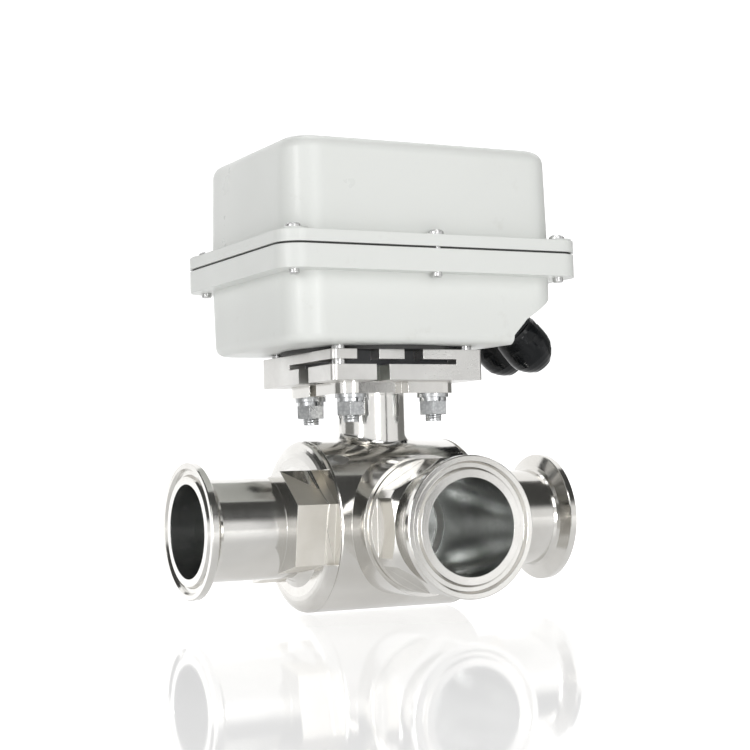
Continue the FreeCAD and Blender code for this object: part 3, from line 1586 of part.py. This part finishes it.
def make_board(plate_screws):
    top = dim.board_bottom + dim.board_thickness
    board = box("board_sheet", (dim.board_left, -dim.board_half_width, dim.board_bottom),
                (dim.board_right, dim.board_half_width, top))
    holes = [cylinder(f"board_hole_{i}", half(dim.small_screw_diameter) + 0.1, dim.board_bottom - 1,
                      top + 1, x, y) for i, (x, y) in enumerate(board_screw_places(), start=1)]
    finish(cut("circuit_board", board, fuse("board_holes", holes)))
    plate_top = dim.plate_bottom + dim.plate_thickness
    spacers, screws = [], []
    for i, (x, y) in enumerate(board_screw_places(), start=1):
        spacers.append(ring(f"board_spacer_{i}", 2.6, half(dim.small_screw_diameter) + 0.1,
                            plate_top, dim.board_bottom, x, y))
        screws.append(small_screw(f"board_screw_{i}", top, x, y))
    finish(group("board_spacers", spacers))
    finish(group("inner_screws", plate_screws + screws))
    reach = half(dim.terminal_length) - 1
    back = dim.board_right - 1.5
    front = back - dim.terminal_depth
    block = box("terminal_case", (front, -reach, top), (back, reach, top + dim.terminal_height))
    step = box("terminal_step", (back - 4.5, -reach - 1, top + 8.0), (back + 1, reach + 1, top + 20))
    pockets, screws = [step], []
    ways = 8
    pitch = reach * 2 / ways
    for i in range(ways):
        y = -reach + pitch * (i + 0.5)
        pockets.append(cylinder(f"terminal_well_{i + 1}", 2.4, top + 7.0, top + 20, front + 3.8, y))
        pockets.append(box(f"terminal_entry_{i + 1}", (back - 6.0, y - 1.9, top + 2.2),
                           (back + 1, y + 1.9, top + 6.0)))
        screws.append(cylinder(f"terminal_screw_{i + 1}", 2.2, top + 7.1, top + 11.0, front + 3.8, y))
    finish(cut("terminal_block", block, fuse("terminal_pockets", pockets)))
    finish(group("terminal_screws", screws))


# ---------------------------------------------------------------- indicator


def make_indicator():
    disc_bottom = dim.shaft_top - dim.indicator_thickness
    disc = cylinder("indicator_plate", half(dim.indicator_diameter), disc_bottom, dim.shaft_top)
    rib = box("indicator_pointer", (-half(dim.indicator_diameter) + 1, -1.2, dim.shaft_top - 0.5),
              (half(dim.indicator_diameter) - 1, 1.2, dim.shaft_top + 0.9))
    hole = cylinder("indicator_hole", half(dim.shaft_diameter) + 0.01, disc_bottom - 3, dim.shaft_top + 3)
    finish(cut("indicator_disc", fuse("indicator_blank", [disc, rib]), hole))
    seat = dim.cover_top - dim.window_thickness
    finish(cylinder("indicator_window", half(dim.window_diameter) - 0.1, seat, dim.cover_top + 0.4))


# ---------------------------------------------------------------- cable glands


def gland_seat(side):
    """The gland axis starts on its boss and points down and outwards at 45 degrees."""
    y = dim.gland_spacing.number / 2 * side
    return Placement(Vector(dim.gland_seat_out.number, y, dim.gland_seat_up.number),
                     Rotation(Vector(0, 1, 0), 135))


def along_gland(name, side, radius, start, end):
    """A cylinder about a gland's axis, between two distances from the face of its boss."""
    shape = doc.addObject("Part::Cylinder", name)
    bind(shape, "Radius", radius)
    bind(shape, "Height", as_size(end) - start)
    shape.Placement = gland_seat(side).multiply(
        Placement(Vector(0, 0, as_size(start).number), Rotation())
    )
    return shape


GLAND_NODES = ("gland_bodies", "gland_nuts", "gland_seals", "gland_washers", "gland_locknuts")


def make_gland(prefix, side):
    seat = gland_seat(side)
    thread = half(dim.gland_thread_diameter)
    bore = half(dim.gland_bore_diameter)
    washer_top = dim.gland_washer_thickness
    hex_top = washer_top + dim.gland_hex_height
    body = turned(
        f"{prefix}_gland_body",
        [
            (bore, -dim.gland_thread_inside),
            (thread, -dim.gland_thread_inside),
            (thread, hex_top + 8.0),
            (bore, hex_top + 8.0),
        ],
    )
    sketch = new_sketch(body, "XY_Plane", washer_top)
    add_outline(sketch, hexagon(dim.gland_flats, 0))
    add_circles(sketch, [(0, 0, thread - 0.5)])
    extrude(body, sketch, dim.gland_hex_height)
    nut_bottom = hex_top + 0.4
    nut_top = nut_bottom + dim.gland_nut_length
    dome = half(dim.gland_nut_diameter)
    mouth = half(dim.gland_mouth_diameter)
    nut = turned(
        f"{prefix}_gland_nut",
        [
            (0, nut_bottom),
            (dome - 0.9, nut_bottom),
            (dome - 0.4, nut_bottom + 1.6),
            (dome - 0.1, nut_bottom + 5),
            (dome, nut_bottom + 8.5),
            (dome - 0.1, nut_bottom + 10.5),
            (dome - 0.6, nut_bottom + 13),
            (dome - 1.9, nut_bottom + 15.4),
            (dome - 3.3, nut_bottom + 17.2),
            (dome - 4.6, nut_bottom + 18.4),
            (dome - 5.2, nut_top),
            (0, nut_top),
        ],
    )
    outline = new_sketch(nut, "XY_Plane", nut_bottom)
    add_outline(outline, hexagon(dim.gland_nut_flats, 0))
    add_circles(outline, [(0, 0, dome + 4)])
    extrude(nut, outline, dim.gland_nut_hex_height, cut=True)
    drill(nut, [(0, 0, thread + 0.1)], nut_bottom, nut_bottom + 10.5)
    drill(nut, [(0, 0, mouth)], nut_bottom + 10, nut_top)
    seal = turned(
        f"{prefix}_gland_seal",
        [
            (half(dim.gland_cable_diameter), nut_bottom + 1.0),
            (bore - 0.1, nut_bottom + 1.0),
            (bore - 0.1, nut_bottom + 8.2),
            (mouth - 0.1, nut_bottom + 9.7),
            (mouth - 0.1, nut_top - 1.2),
            (half(dim.gland_cable_diameter), nut_top - 1.2),
        ],
    )
    washer = turned(
        f"{prefix}_gland_washer",
        [(thread + 0.1, 0), (half(dim.gland_washer_diameter), 0),
         (half(dim.gland_washer_diameter), washer_top), (thread + 0.1, washer_top)],
    )
    inside = -dim.gland_wall
    locknut = new_body(f"{prefix}_gland_locknut")
    sketch = new_sketch(locknut, "XY_Plane", inside - dim.locknut_height)
    add_outline(sketch, hexagon(dim.gland_flats, 0))
    add_circles(sketch, [(0, 0, thread + 0.02)])
    extrude(locknut, sketch, dim.locknut_height)
    pieces = [body, nut, seal, washer, locknut]
    for piece in pieces:
        piece.Placement = Placement(seat)
    return pieces


# ---------------------------------------------------------------- assembly

make_valve_body()
make_run_cap("right_end_cap", 0)
make_run_cap("left_end_cap", 180)
make_front_cap()
run_seat = half(dim.cavity_diameter) - 0.3
front_seat = half(dim.front_thread_diameter) - 0.3
finish(group("run_seats", [make_seat("right_seat", run_seat, 0), make_seat("left_seat", run_seat, 180)]))
finish(make_seat("front_seat", front_seat, -90))
make_cap_seals()
make_ball()
make_stem()
make_stem_fittings()
make_pad_fasteners()
make_bracket()
make_bracket_screws()
finish(ring("base_gasket", half(dim.base_gasket_diameter), half(dim.bracket_bore_diameter),
            dim.bracket_top, dim.box_bottom))
make_lower_housing()
make_upper_cover()
make_cover_gasket()
make_cover_screws()
make_output_shaft()
make_drive_sleeve()
make_bushes()
make_gears()
frame_screws = make_gear_frame()
make_motor()
make_cam("closed_cam", dim.closed_cam_bottom, 0)
make_cam("open_cam", dim.open_cam_bottom, -90)
make_switch("closed", dim.closed_switch_bottom)
make_switch("open", dim.open_switch_bottom)
make_switch_bracket()
make_board(frame_screws)
make_indicator()
for names, pair in zip(GLAND_NODES, zip(make_gland("near", -1), make_gland("far", 1))):
    finish(group(names, list(pair)))
doc.recompute()

for item in doc.Objects:
    if "Invalid" in item.State or "Error" in item.State:
        raise RuntimeError(f"{item.Name} failed: {item.State}")
for part in PARTS:
    if part.Shape.isNull() or not part.Shape.isValid():
        raise RuntimeError(f"{part.Label} has a bad shape")

os.makedirs("parts", exist_ok=True)
for part in PARTS:
    part.Shape.exportStep(f"parts/{part.Label}.step")
print(len(PARTS), "sub-parts written")
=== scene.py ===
import json
import math

import bpy
from mathutils import Matrix, Vector


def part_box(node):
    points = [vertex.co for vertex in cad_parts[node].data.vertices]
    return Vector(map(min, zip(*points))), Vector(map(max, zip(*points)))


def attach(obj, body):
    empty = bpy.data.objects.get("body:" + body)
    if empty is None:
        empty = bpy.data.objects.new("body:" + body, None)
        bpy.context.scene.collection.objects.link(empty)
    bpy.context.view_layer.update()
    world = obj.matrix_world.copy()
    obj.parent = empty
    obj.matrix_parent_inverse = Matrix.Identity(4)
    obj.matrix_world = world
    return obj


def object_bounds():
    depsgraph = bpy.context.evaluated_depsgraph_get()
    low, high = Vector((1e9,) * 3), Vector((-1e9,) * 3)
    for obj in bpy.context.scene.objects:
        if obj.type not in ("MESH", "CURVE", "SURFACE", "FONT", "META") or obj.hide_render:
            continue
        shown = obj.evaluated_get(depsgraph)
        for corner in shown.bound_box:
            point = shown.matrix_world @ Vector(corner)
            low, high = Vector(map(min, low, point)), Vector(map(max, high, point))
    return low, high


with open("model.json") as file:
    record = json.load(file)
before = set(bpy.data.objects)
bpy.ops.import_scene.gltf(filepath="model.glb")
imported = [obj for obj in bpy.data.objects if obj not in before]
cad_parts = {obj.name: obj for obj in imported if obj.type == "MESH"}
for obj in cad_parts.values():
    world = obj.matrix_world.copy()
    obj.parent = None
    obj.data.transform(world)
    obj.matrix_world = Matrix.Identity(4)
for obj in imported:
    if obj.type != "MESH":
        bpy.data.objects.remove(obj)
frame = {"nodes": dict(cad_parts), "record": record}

LOAD_BOUNDS = [[round(v, 6) for v in corner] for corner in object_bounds()]
FIXED = "fixed_assembly"
MM = 1000  # millimetres in a metre

# sockets of the colour pair in a mix node
MIX_FIRST, MIX_SECOND, MIX_RESULT = 6, 7, 2


# ---------------------------------------------------------------- node helpers
class Shader:
    """A material's node tree, with short ways to add and join nodes."""

    def __init__(self, name):
        self.material = bpy.data.materials.new(name)
        self.material.use_nodes = True
        self.tree = self.material.node_tree
        self.main = self.tree.nodes["Principled BSDF"]
        self.coords = self.add("ShaderNodeTexCoord").outputs["Object"]

    def add(self, kind, **values):
        node = self.tree.nodes.new(kind)
        for key, value in values.items():
            setattr(node, key, value)
        return node

    def link(self, source, target):
        self.tree.links.new(source, target)

    def put(self, target, value):
        if isinstance(value, bpy.types.NodeSocket):
            self.link(value, target)
        else:
            target.default_value = value

    def set(self, name, value):
        self.put(self.main.inputs[name], value)

    def stretched(self, scale):
        node = self.add("ShaderNodeMapping")
        self.link(self.coords, node.inputs["Vector"])
        node.inputs["Scale"].default_value = scale
        return node.outputs["Vector"]

    def noise(self, scale, detail=4.0, roughness=0.55, stretch=None, distortion=0.0):
        node = self.add("ShaderNodeTexNoise")
        self.link(self.stretched(stretch) if stretch else self.coords, node.inputs["Vector"])
        node.inputs["Scale"].default_value = scale
        node.inputs["Detail"].default_value = detail
        node.inputs["Roughness"].default_value = roughness
        node.inputs["Distortion"].default_value = distortion
        return node.outputs["Fac"]

    def cells(self, scale):
        node = self.add("ShaderNodeTexVoronoi")
        self.link(self.coords, node.inputs["Vector"])
        node.inputs["Scale"].default_value = scale
        return node.outputs["Distance"]

    def span(self, value, low, high, start, end):
        """Maps low..high to start..end, held at both ends."""
        node = self.add("ShaderNodeMapRange")
        self.put(node.inputs["Value"], value)
        node.inputs["From Min"].default_value = low
        node.inputs["From Max"].default_value = high
        node.inputs["To Min"].default_value = start
        node.inputs["To Max"].default_value = end
        return node.outputs["Result"]

    def math(self, kind, first, second):
        node = self.add("ShaderNodeMath", operation=kind)
        self.put(node.inputs[0], first)
        self.put(node.inputs[1], second)
        return node.outputs[0]

    def mix(self, factor, first, second):
        node = self.add("ShaderNodeMix", data_type="RGBA")
        self.put(node.inputs["Factor"], factor)
        self.put(node.inputs[MIX_FIRST], first)
        self.put(node.inputs[MIX_SECOND], second)
        return node.outputs[MIX_RESULT]

    def edge_wear(self):
        """1 on outward corners, 0 on flat and hollow places."""
        node = self.add("ShaderNodeNewGeometry")
        return self.span(node.outputs["Pointiness"], 0.52, 0.62, 0.0, 1.0)

    def relief(self, height, distance, edge, strength):
        """Fine surface relief over corners softened by edge metres."""
        bump = self.add("ShaderNodeBump")
        self.link(height, bump.inputs["Height"])
        bump.inputs["Distance"].default_value = distance
        bump.inputs["Strength"].default_value = strength
        bevel = self.add("ShaderNodeBevel", samples=6)
        bevel.inputs["Radius"].default_value = edge
        self.link(bevel.outputs["Normal"], bump.inputs["Normal"])
        self.link(bump.outputs["Normal"], self.main.inputs["Normal"])


def rgb(red, green, blue):
    return (red, green, blue, 1.0)


def paint(name, colour, shade, rough):
    """Sprayed paint: fine orange peel, slight drift of tone, spots of dust, dulled patches."""
    s = Shader(name)
    drift = s.span(s.noise(9.0, detail=3.0), 0.3, 0.7, 0.0, 1.0)
    tone = s.mix(drift, colour, shade)
    dust = s.span(s.noise(60.0, detail=6.0, roughness=0.7), 0.62, 0.8, 0.0, 0.25)
    s.set("Base Color", s.mix(dust, tone, DUST))
    s.set("Roughness", s.span(s.noise(35.0, detail=5.0), 0.3, 0.7, rough - 0.07, rough + 0.09))
    s.set("Specular IOR Level", 0.45)
    s.set("Coat Weight", 0.12)
    s.set("Coat Roughness", 0.25)
    coarse = s.math("MULTIPLY", s.noise(90.0, detail=2.0), 0.8)
    peel = s.math("ADD", s.noise(900.0, detail=2.0), coarse)
    s.relief(peel, distance=0.00005, edge=0.0004, strength=0.6)
    return s.material


def polished(name, colour, tint, rough=0.09, haze=0.08):
    """Buffed stainless: fine polishing lines, faint smears and hazed patches."""
    s = Shader(name)
    smear = s.span(s.noise(22.0, roughness=0.6, distortion=0.6), 0.35, 0.7, 0.0, 1.0)
    s.set("Base Color", s.mix(smear, colour, tint))
    s.set("Metallic", 1.0)
    patch = s.span(s.noise(45.0, detail=6.0, roughness=0.65), 0.35, 0.75, rough, rough + haze)
    lines = s.noise(1600.0, detail=2.0, roughness=0.5)
    s.set("Roughness", s.math("ADD", patch, s.span(lines, 0.4, 0.7, 0.0, 0.05)))
    swell = s.noise(28.0, detail=2.0, roughness=0.4)
    wave = s.math("ADD", s.math("MULTIPLY", lines, 0.12), swell)
    s.relief(wave, distance=0.00006, edge=0.00025, strength=0.55)
    return s.material


def machined(name, colour, tint, rough=0.26, edge=0.0003, lay=(1.0, 1.0, 9.0)):
    """A milled or turned face: directional cutter marks over uneven roughness."""
    s = Shader(name)
    marks = s.noise(700.0, detail=3.0, roughness=0.6, stretch=lay)
    stain = s.span(s.noise(55.0, detail=5.0), 0.35, 0.7, 0.0, 1.0)
    s.set("Base Color", s.mix(stain, colour, tint))
    s.set("Metallic", 1.0)
    s.set("Roughness", s.math("ADD", s.span(marks, 0.35, 0.7, rough, rough + 0.14),
                              s.span(s.noise(30.0), 0.4, 0.8, 0.0, 0.1)))
    s.relief(marks, distance=0.00003, edge=edge, strength=0.6)
    return s.material


def plated(name, colour, tint, rough=0.24):
    """Zinc plate: mottled crystals, duller in patches."""
    s = Shader(name)
    spots = s.span(s.cells(900.0), 0.1, 0.8, 0.0, 1.0)
    s.set("Base Color", s.mix(spots, colour, tint))
    s.set("Metallic", 1.0)
    dull = s.noise(140.0, detail=6.0, roughness=0.7)
    s.set("Roughness", s.span(dull, 0.3, 0.75, rough, rough + 0.2))
    s.relief(s.noise(500.0, detail=3.0), distance=0.00003, edge=0.0002, strength=0.5)
    return s.material


def plastic(name, colour, shade, rough, coat=0.0, grain=600.0, gloss=0.5):
    """Moulded plastic or rubber: slight texture, worn lighter on edges, finger-dulled patches."""
    s = Shader(name)
    tone = s.mix(s.span(s.noise(40.0, detail=5.0), 0.35, 0.7, 0.0, 1.0), colour, shade)
    s.set("Base Color", s.mix(s.math("MULTIPLY", s.edge_wear(), 0.2), tone, WORN))
    handled = s.noise(75.0, detail=6.0, roughness=0.65)
    s.set("Roughness", s.span(handled, 0.3, 0.75, rough - 0.06, rough + 0.14))
    s.set("Specular IOR Level", gloss)
    s.set("Coat Weight", coat)
    s.set("Coat Roughness", 0.08)
    s.relief(s.noise(grain, detail=3.0), distance=0.00004, edge=0.0003, strength=0.6)
    return s.material


def clear(name):
    """A clear window, faintly smeared."""
    s = Shader(name)
    s.set("Base Color", s.mix(s.noise(40.0), rgb(0.9, 0.93, 0.92), rgb(0.82, 0.86, 0.86)))
    s.set("Transmission Weight", 1.0)
    s.set("IOR", 1.49)
    s.set("Roughness", s.span(s.noise(90.0, detail=6.0), 0.4, 0.8, 0.03, 0.16))
    s.relief(s.noise(60.0), distance=0.00003, edge=0.0002, strength=0.4)
    return s.material


# ---------------------------------------------------------------- finishes
DUST = rgb(0.45, 0.43, 0.38)
WORN = rgb(0.16, 0.16, 0.155)
STEEL = rgb(0.74, 0.73, 0.705)
STEEL_TINT = rgb(0.63, 0.615, 0.585)
FINISHES = {
    "box_paint": paint("box_paint", rgb(0.745, 0.76, 0.735), rgb(0.715, 0.73, 0.705), 0.34),
    "polished_stainless": polished("polished_stainless", STEEL, STEEL_TINT),
    "mirror_ball": polished("mirror_ball", rgb(0.74, 0.73, 0.71), STEEL, 0.04, haze=0.04),
    "machined_bracket": machined("machined_bracket", rgb(0.74, 0.735, 0.715),
                                 rgb(0.62, 0.61, 0.59)),
    "zinc_hardware": plated("zinc_hardware", rgb(0.62, 0.63, 0.63), rgb(0.44, 0.45, 0.46)),
    "stainless_screw": plated("stainless_screw", rgb(0.72, 0.72, 0.71), rgb(0.55, 0.55, 0.55), 0.2),
    "black_rubber": plastic("black_rubber", rgb(0.018, 0.018, 0.018), rgb(0.03, 0.03, 0.029), 0.62),
    "black_nylon": plastic("black_nylon", rgb(0.004, 0.005, 0.006), rgb(0.008, 0.009, 0.010),
                           0.12, grain=420.0, gloss=0.22),
    "white_ptfe": plastic("white_ptfe", rgb(0.82, 0.82, 0.79), rgb(0.74, 0.74, 0.70), 0.35),
    "stem_steel": machined("stem_steel", STEEL, STEEL_TINT, 0.16),
    "gear_steel": machined("gear_steel", rgb(0.58, 0.57, 0.55), rgb(0.42, 0.41, 0.40), 0.28),
    "bronze": machined("bronze", rgb(0.66, 0.45, 0.24), rgb(0.50, 0.33, 0.17), 0.3),
    "frame_aluminium": machined("frame_aluminium", rgb(0.77, 0.77, 0.78),
                                rgb(0.64, 0.65, 0.66), 0.3),
    "motor_case": plated("motor_case", rgb(0.55, 0.56, 0.57), rgb(0.42, 0.43, 0.44), 0.3),
    "capacitor_can": plastic("capacitor_can", rgb(0.04, 0.05, 0.09), rgb(0.06, 0.07, 0.12), 0.3),
    "cam_plastic": plastic("cam_plastic", rgb(0.55, 0.10, 0.05), rgb(0.42, 0.07, 0.04), 0.4),
    "switch_plastic": plastic("switch_plastic", rgb(0.03, 0.03, 0.032), rgb(0.05, 0.05, 0.05), 0.4),
    "spring_steel": machined("spring_steel", rgb(0.50, 0.50, 0.50), rgb(0.36, 0.36, 0.37), 0.25),
    "board_green": plastic("board_green", rgb(0.02, 0.16, 0.07), rgb(0.03, 0.21, 0.09), 0.35,
                           coat=0.3),
    "terminal_green": plastic("terminal_green", rgb(0.05, 0.30, 0.12), rgb(0.04, 0.24, 0.10), 0.38),
    "indicator_yellow": plastic("indicator_yellow", rgb(0.80, 0.58, 0.04),
                                rgb(0.68, 0.47, 0.03), 0.4),
    "window_clear": clear("window_clear"),
}
# bored steel finish whose lighter, bluish base colour is painted light inside the bores
BORED_STEEL_LIT = machined("bored_steel_painted_light", rgb(0.80, 0.81, 0.80), rgb(0.66, 0.67, 0.66), 0.12,
                edge=0.0002, lay=(9.0, 9.0, 9.0))
# painted shade: a near-black colour on the steel groove walls for the shade in the deep groove
GROOVE_SHADE = plastic("groove_painted_shade", rgb(0.014, 0.016, 0.020), rgb(0.03, 0.033, 0.038), 0.4)
# painted shade: a dark colour on the slot walls for the shade inside the slots
SLOT = machined("slot_shade", rgb(0.20, 0.21, 0.19), rgb(0.10, 0.11, 0.10), 0.45)
# painted sheen: a lighter cream colour for the light the lug flats catch, over a matte roughness
LUG_SHEEN = machined("lug_painted_sheen", rgb(0.80, 0.775, 0.72), rgb(0.70, 0.67, 0.61), 0.3)

SMOOTH_BELOW = math.radians(28)  # edges flatter than this are shaded round
slots = {row["node"]: row["material_slot"] for row in frame["record"]["subparts"]}
for name, node in frame["nodes"].items():
    finish = FINISHES[slots[name]]
    node.data.materials.clear()
    node.data.materials.append(finish)
    node.data.shade_smooth()
    node.data.set_sharp_from_angle(angle=SMOOTH_BELOW)


# limits of the repainted faces, in millimetres from the ball's centre
GROOVE_REACH, GROOVE_CLEAR, GROOVE_BOTTOM = 25.2, 17.0, 59.8
SLOT_REACH, SLOT_CLEAR, SLOT_TOP = 24.2, 20.0, 59.9
LUG_START, LUG_END, LUG_ROOT = 30.4, 45.8, 19.6
BORE_LIMIT = 17.6
# limits of a normal's part along one axis
UPRIGHT = 0.1
LEVEL_WITH_RUN = 0.05
BORE_WALL = 0.5
ROUND_FACE = 0.999


def repaint(node, finish, chosen):
    """Gives the faces of a node that chosen(centre, normal) picks another finish."""
    mesh = frame["nodes"][node].data
    mesh.materials.append(finish)
    number = len(mesh.materials) - 1
    for face in mesh.polygons:
        if chosen(face.center * MM, face.normal):
            face.material_index = number


def in_groove(c, n):
    """The upright walls of the bracket's groove, under the base gasket, which get painted shade."""
    upright = abs(n.z) < UPRIGHT
    inside = max(abs(c.x), abs(c.y)) < GROOVE_REACH and c.z > GROOVE_BOTTOM
    return upright and inside and math.hypot(c.x, c.y) > GROOVE_CLEAR


def in_slot(c, n):
    """The upright walls of the slots below the groove, which get painted shade."""
    upright = abs(n.z) < UPRIGHT
    inside = max(abs(c.x), abs(c.y)) < SLOT_REACH and c.z < SLOT_TOP
    return upright and inside and math.hypot(c.x, c.y) > SLOT_CLEAR


def on_lug(c, n):
    """The flats of a run cap, which get painted sheen: level with the run, and not part of a round
    face.
    """
    out = math.hypot(c.y, c.z)
    flat = abs(n.x) < LEVEL_WITH_RUN and out > LUG_ROOT and LUG_START < abs(c.x) < LUG_END
    radial = abs(n.y * c.y + n.z * c.z) / out > ROUND_FACE
    return flat and not radial


def in_run_bore(c, n):
    return math.hypot(c.y, c.z) < BORE_LIMIT and abs(n.x) < BORE_WALL


def in_front_bore(c, n):
    return math.hypot(c.x, c.z) < BORE_LIMIT and abs(n.y) < BORE_WALL


def in_ball_ports(c, n):
    return min(math.hypot(c.x, c.z), math.hypot(c.y, c.z)) < BORE_LIMIT


repaint("mounting_bracket", GROOVE_SHADE, in_groove)
repaint("mounting_bracket", SLOT, in_slot)
for cap in ("left_end_cap", "right_end_cap"):
    repaint(cap, LUG_SHEEN, on_lug)
    repaint(cap, BORED_STEEL_LIT, in_run_bore)
repaint("front_end_cap", BORED_STEEL_LIT, in_front_bore)
repaint("ball", BORED_STEEL_LIT, in_ball_ports)


# ---------------------------------------------------------------- bolt threads
BOLT_REACH = 17.6775  # millimetres from the stem's axis to a pad bolt, along X and along Y
BOLT_RADIUS = 3.0
PITCH = 0.9
CREST = 0.16
ROOT = 0.05  # depth of the ridge's foot inside the rod
FLANK = 0.45  # half the ridge's width, as a part of the pitch
STEPS = 28  # corners in one turn
FADE_STEPS = 14
START_GAP, END_GAP = 0.5, 0.3  # from the bolt's end and to the nut


def thread(name, x, y, low, high):
    """A screw thread as a winding ridge round a rod, tapering away at both ends."""
    count = int((high - low) / PITCH * STEPS)
    points, faces = [], []
    for i in range(count + 1):
        turn = 2 * math.pi * i / STEPS
        height = low + PITCH * i / STEPS
        fade = min(1.0, i / FADE_STEPS, (count - i) / FADE_STEPS)
        for out, rise in ((-ROOT, -FLANK), (CREST * fade, 0.0), (-ROOT, FLANK)):
            reach = BOLT_RADIUS + out
            points.append((
                (x + reach * math.cos(turn)) / MM,
                (y + reach * math.sin(turn)) / MM,
                (height + rise * PITCH) / MM,
            ))
    for i in range(count):
        k = 3 * i
        faces += [(k, k + 3, k + 4, k + 1), (k + 1, k + 4, k + 5, k + 2), (k + 2, k + 5, k + 3, k)]
    ends = [(0, 1, 2), (3 * count + 2, 3 * count + 1, 3 * count)]
    mesh = bpy.data.meshes.new(name)
    mesh.from_pydata(points, [], faces + ends)
    mesh.materials.append(FINISHES["zinc_hardware"])
    thing = bpy.data.objects.new(name, mesh)
    bpy.context.scene.collection.objects.link(thing)
    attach(thing, FIXED)


bolt_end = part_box("pad_bolts")[0].z * MM
nut_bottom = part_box("pad_nuts")[0].z * MM
PLACES = [(sx * BOLT_REACH, sy * BOLT_REACH) for sx in (-1, 1) for sy in (-1, 1)]
for number, (px, py) in enumerate(PLACES, start=1):
    thread(f"bolt_thread_{number}", px, py, bolt_end + START_GAP, nut_bottom + END_GAP)


# ---------------------------------------------------------------- studio
LAMP_AIM = (0.0, 0.0, 0.05)
CARD_AIM = (0.0, 0.0, 0.02)


def aimed(place, target):
    """The turn that points the -Z side of a thing at place towards the target."""
    return (Vector(target) - Vector(place)).to_track_quat("-Z", "Y").to_euler()


def plane(name, width, depth, place, finish, aim=None):
    x, y = width / 2, depth / 2
    mesh = bpy.data.meshes.new(name)
    mesh.from_pydata([(-x, -y, 0), (x, -y, 0), (x, y, 0), (-x, y, 0)], [], [(0, 1, 2, 3)])
    mesh.materials.append(finish)
    thing = bpy.data.objects.new(name, mesh)
    bpy.context.scene.collection.objects.link(thing)
    thing.location = place
    if aim is not None:
        thing.rotation_euler = aimed(place, aim)
    return thing


def flat_finish(name, colour, rough, glow=0.0):
    """An even finish for the stage, giving off white light where glow is above zero."""
    s = Shader(name)
    s.set("Base Color", colour)
    s.set("Roughness", rough)
    if glow:
        s.set("Emission Color", rgb(1.0, 1.0, 1.0))
        s.set("Emission Strength", glow)
    return s.material


def light(name, place, size, power):
    lamp = bpy.data.lights.new(name, "AREA")
    lamp.shape = "RECTANGLE"
    lamp.size, lamp.size_y = size
    lamp.energy = power
    thing = bpy.data.objects.new(name, lamp)
    bpy.context.scene.collection.objects.link(thing)
    thing.location = place
    thing.visible_camera = False
    thing.rotation_euler = aimed(place, LAMP_AIM)


def card(name, width, height, place, finish):
    """A card that only reflections see, facing the object."""
    thing = plane(name, width, height, place, finish, CARD_AIM)
    thing.visible_camera = False


def studio_sky(low, high, top):
    """White round the horizon and below, changing to the top colour between two heights."""
    world = bpy.data.worlds.new("studio")
    bpy.context.scene.world = world
    world.use_nodes = True
    nodes, links = world.node_tree.nodes, world.node_tree.links
    coords = nodes.new("ShaderNodeTexCoord")
    split = nodes.new("ShaderNodeSeparateXYZ")
    ramp = nodes.new("ShaderNodeValToRGB")
    links.new(coords.outputs["Generated"], split.inputs[0])
    links.new(split.outputs["Z"], ramp.inputs["Fac"])
    links.new(ramp.outputs["Color"], nodes["Background"].inputs["Color"])
    first, second = ramp.color_ramp.elements
    first.position, first.color = low, rgb(1.0, 1.0, 1.0)
    second.position, second.color = high, top


FLOOR_GAP = 0.0003  # metres between the part's lowest point and the floor
DARK = rgb(0.07, 0.07, 0.068)
floor_height = LOAD_BOUNDS[0][2] - FLOOR_GAP
floor_white = flat_finish("floor_white", rgb(0.50, 0.50, 0.50), 0.05, glow=0.52)
plane("floor", 12.0, 12.0, (0.0, 0.0, floor_height), floor_white)
backdrop_glow = flat_finish("backdrop_glow", rgb(0.0, 0.0, 0.0), 0.9, glow=1.25)
plane("backdrop", 14.0, 8.0, (2.0, 4.0, 2.5), backdrop_glow, (-0.3, -0.6, 0.0))
dark_card = flat_finish("dark_card", DARK, 0.9)
grey_card = flat_finish("grey_card", rgb(0.26, 0.26, 0.25), 0.9)
card("card_left", 0.75, 0.5, (-0.95, 0.35, 0.12), grey_card)
card("card_right", 0.8, 0.7, (0.80, 0.10, 0.15), grey_card)
card("card_strip", 0.09, 0.7, (0.42, -0.92, 0.15), dark_card)
studio_sky(0.24, 0.42, DARK)
light("key", (0.00, -1.05, 0.65), (0.6, 0.45), 2.5)
light("strip", (-1.05, -0.55, 0.28), (0.22, 0.8), 3.2)
light("front", (-0.10, -1.0, 0.02), (0.16, 0.16), 1.8)
light("top", (0.1, 0.1, 1.0), (0.5, 0.5), 2.0)

# ---------------------------------------------------------------- camera
CAMERA_PLACE = (-0.29779, -0.57414, 0.02127)
HEADING, PITCH_UP, ROLL = 0.48127, 0.056339, 0.02718  # radians
FOCAL_LENGTH = 79.69
SENSOR_WIDTH = 36.0

forward = Vector((
    math.sin(HEADING) * math.cos(PITCH_UP),
    math.cos(HEADING) * math.cos(PITCH_UP),
    math.sin(PITCH_UP),
))
right = Vector((math.cos(HEADING), -math.sin(HEADING), 0.0))
up = Vector((
    -math.sin(HEADING) * math.sin(PITCH_UP),
    -math.cos(HEADING) * math.sin(PITCH_UP),
    math.cos(PITCH_UP),
))
across = right * math.cos(ROLL) - up * math.sin(ROLL)
above = up * math.cos(ROLL) + right * math.sin(ROLL)
lens = bpy.data.cameras.new("camera")
lens.lens = FOCAL_LENGTH
lens.sensor_width = SENSOR_WIDTH
camera = bpy.data.objects.new("camera", lens)
bpy.context.scene.collection.objects.link(camera)
camera.matrix_world = Matrix((
    (across.x, above.x, -forward.x, CAMERA_PLACE[0]),
    (across.y, above.y, -forward.y, CAMERA_PLACE[1]),
    (across.z, above.z, -forward.z, CAMERA_PLACE[2]),
    (0.0, 0.0, 0.0, 1.0),
))
bpy.context.scene.camera = camera
bpy.context.scene.view_settings.view_transform = "Standard"
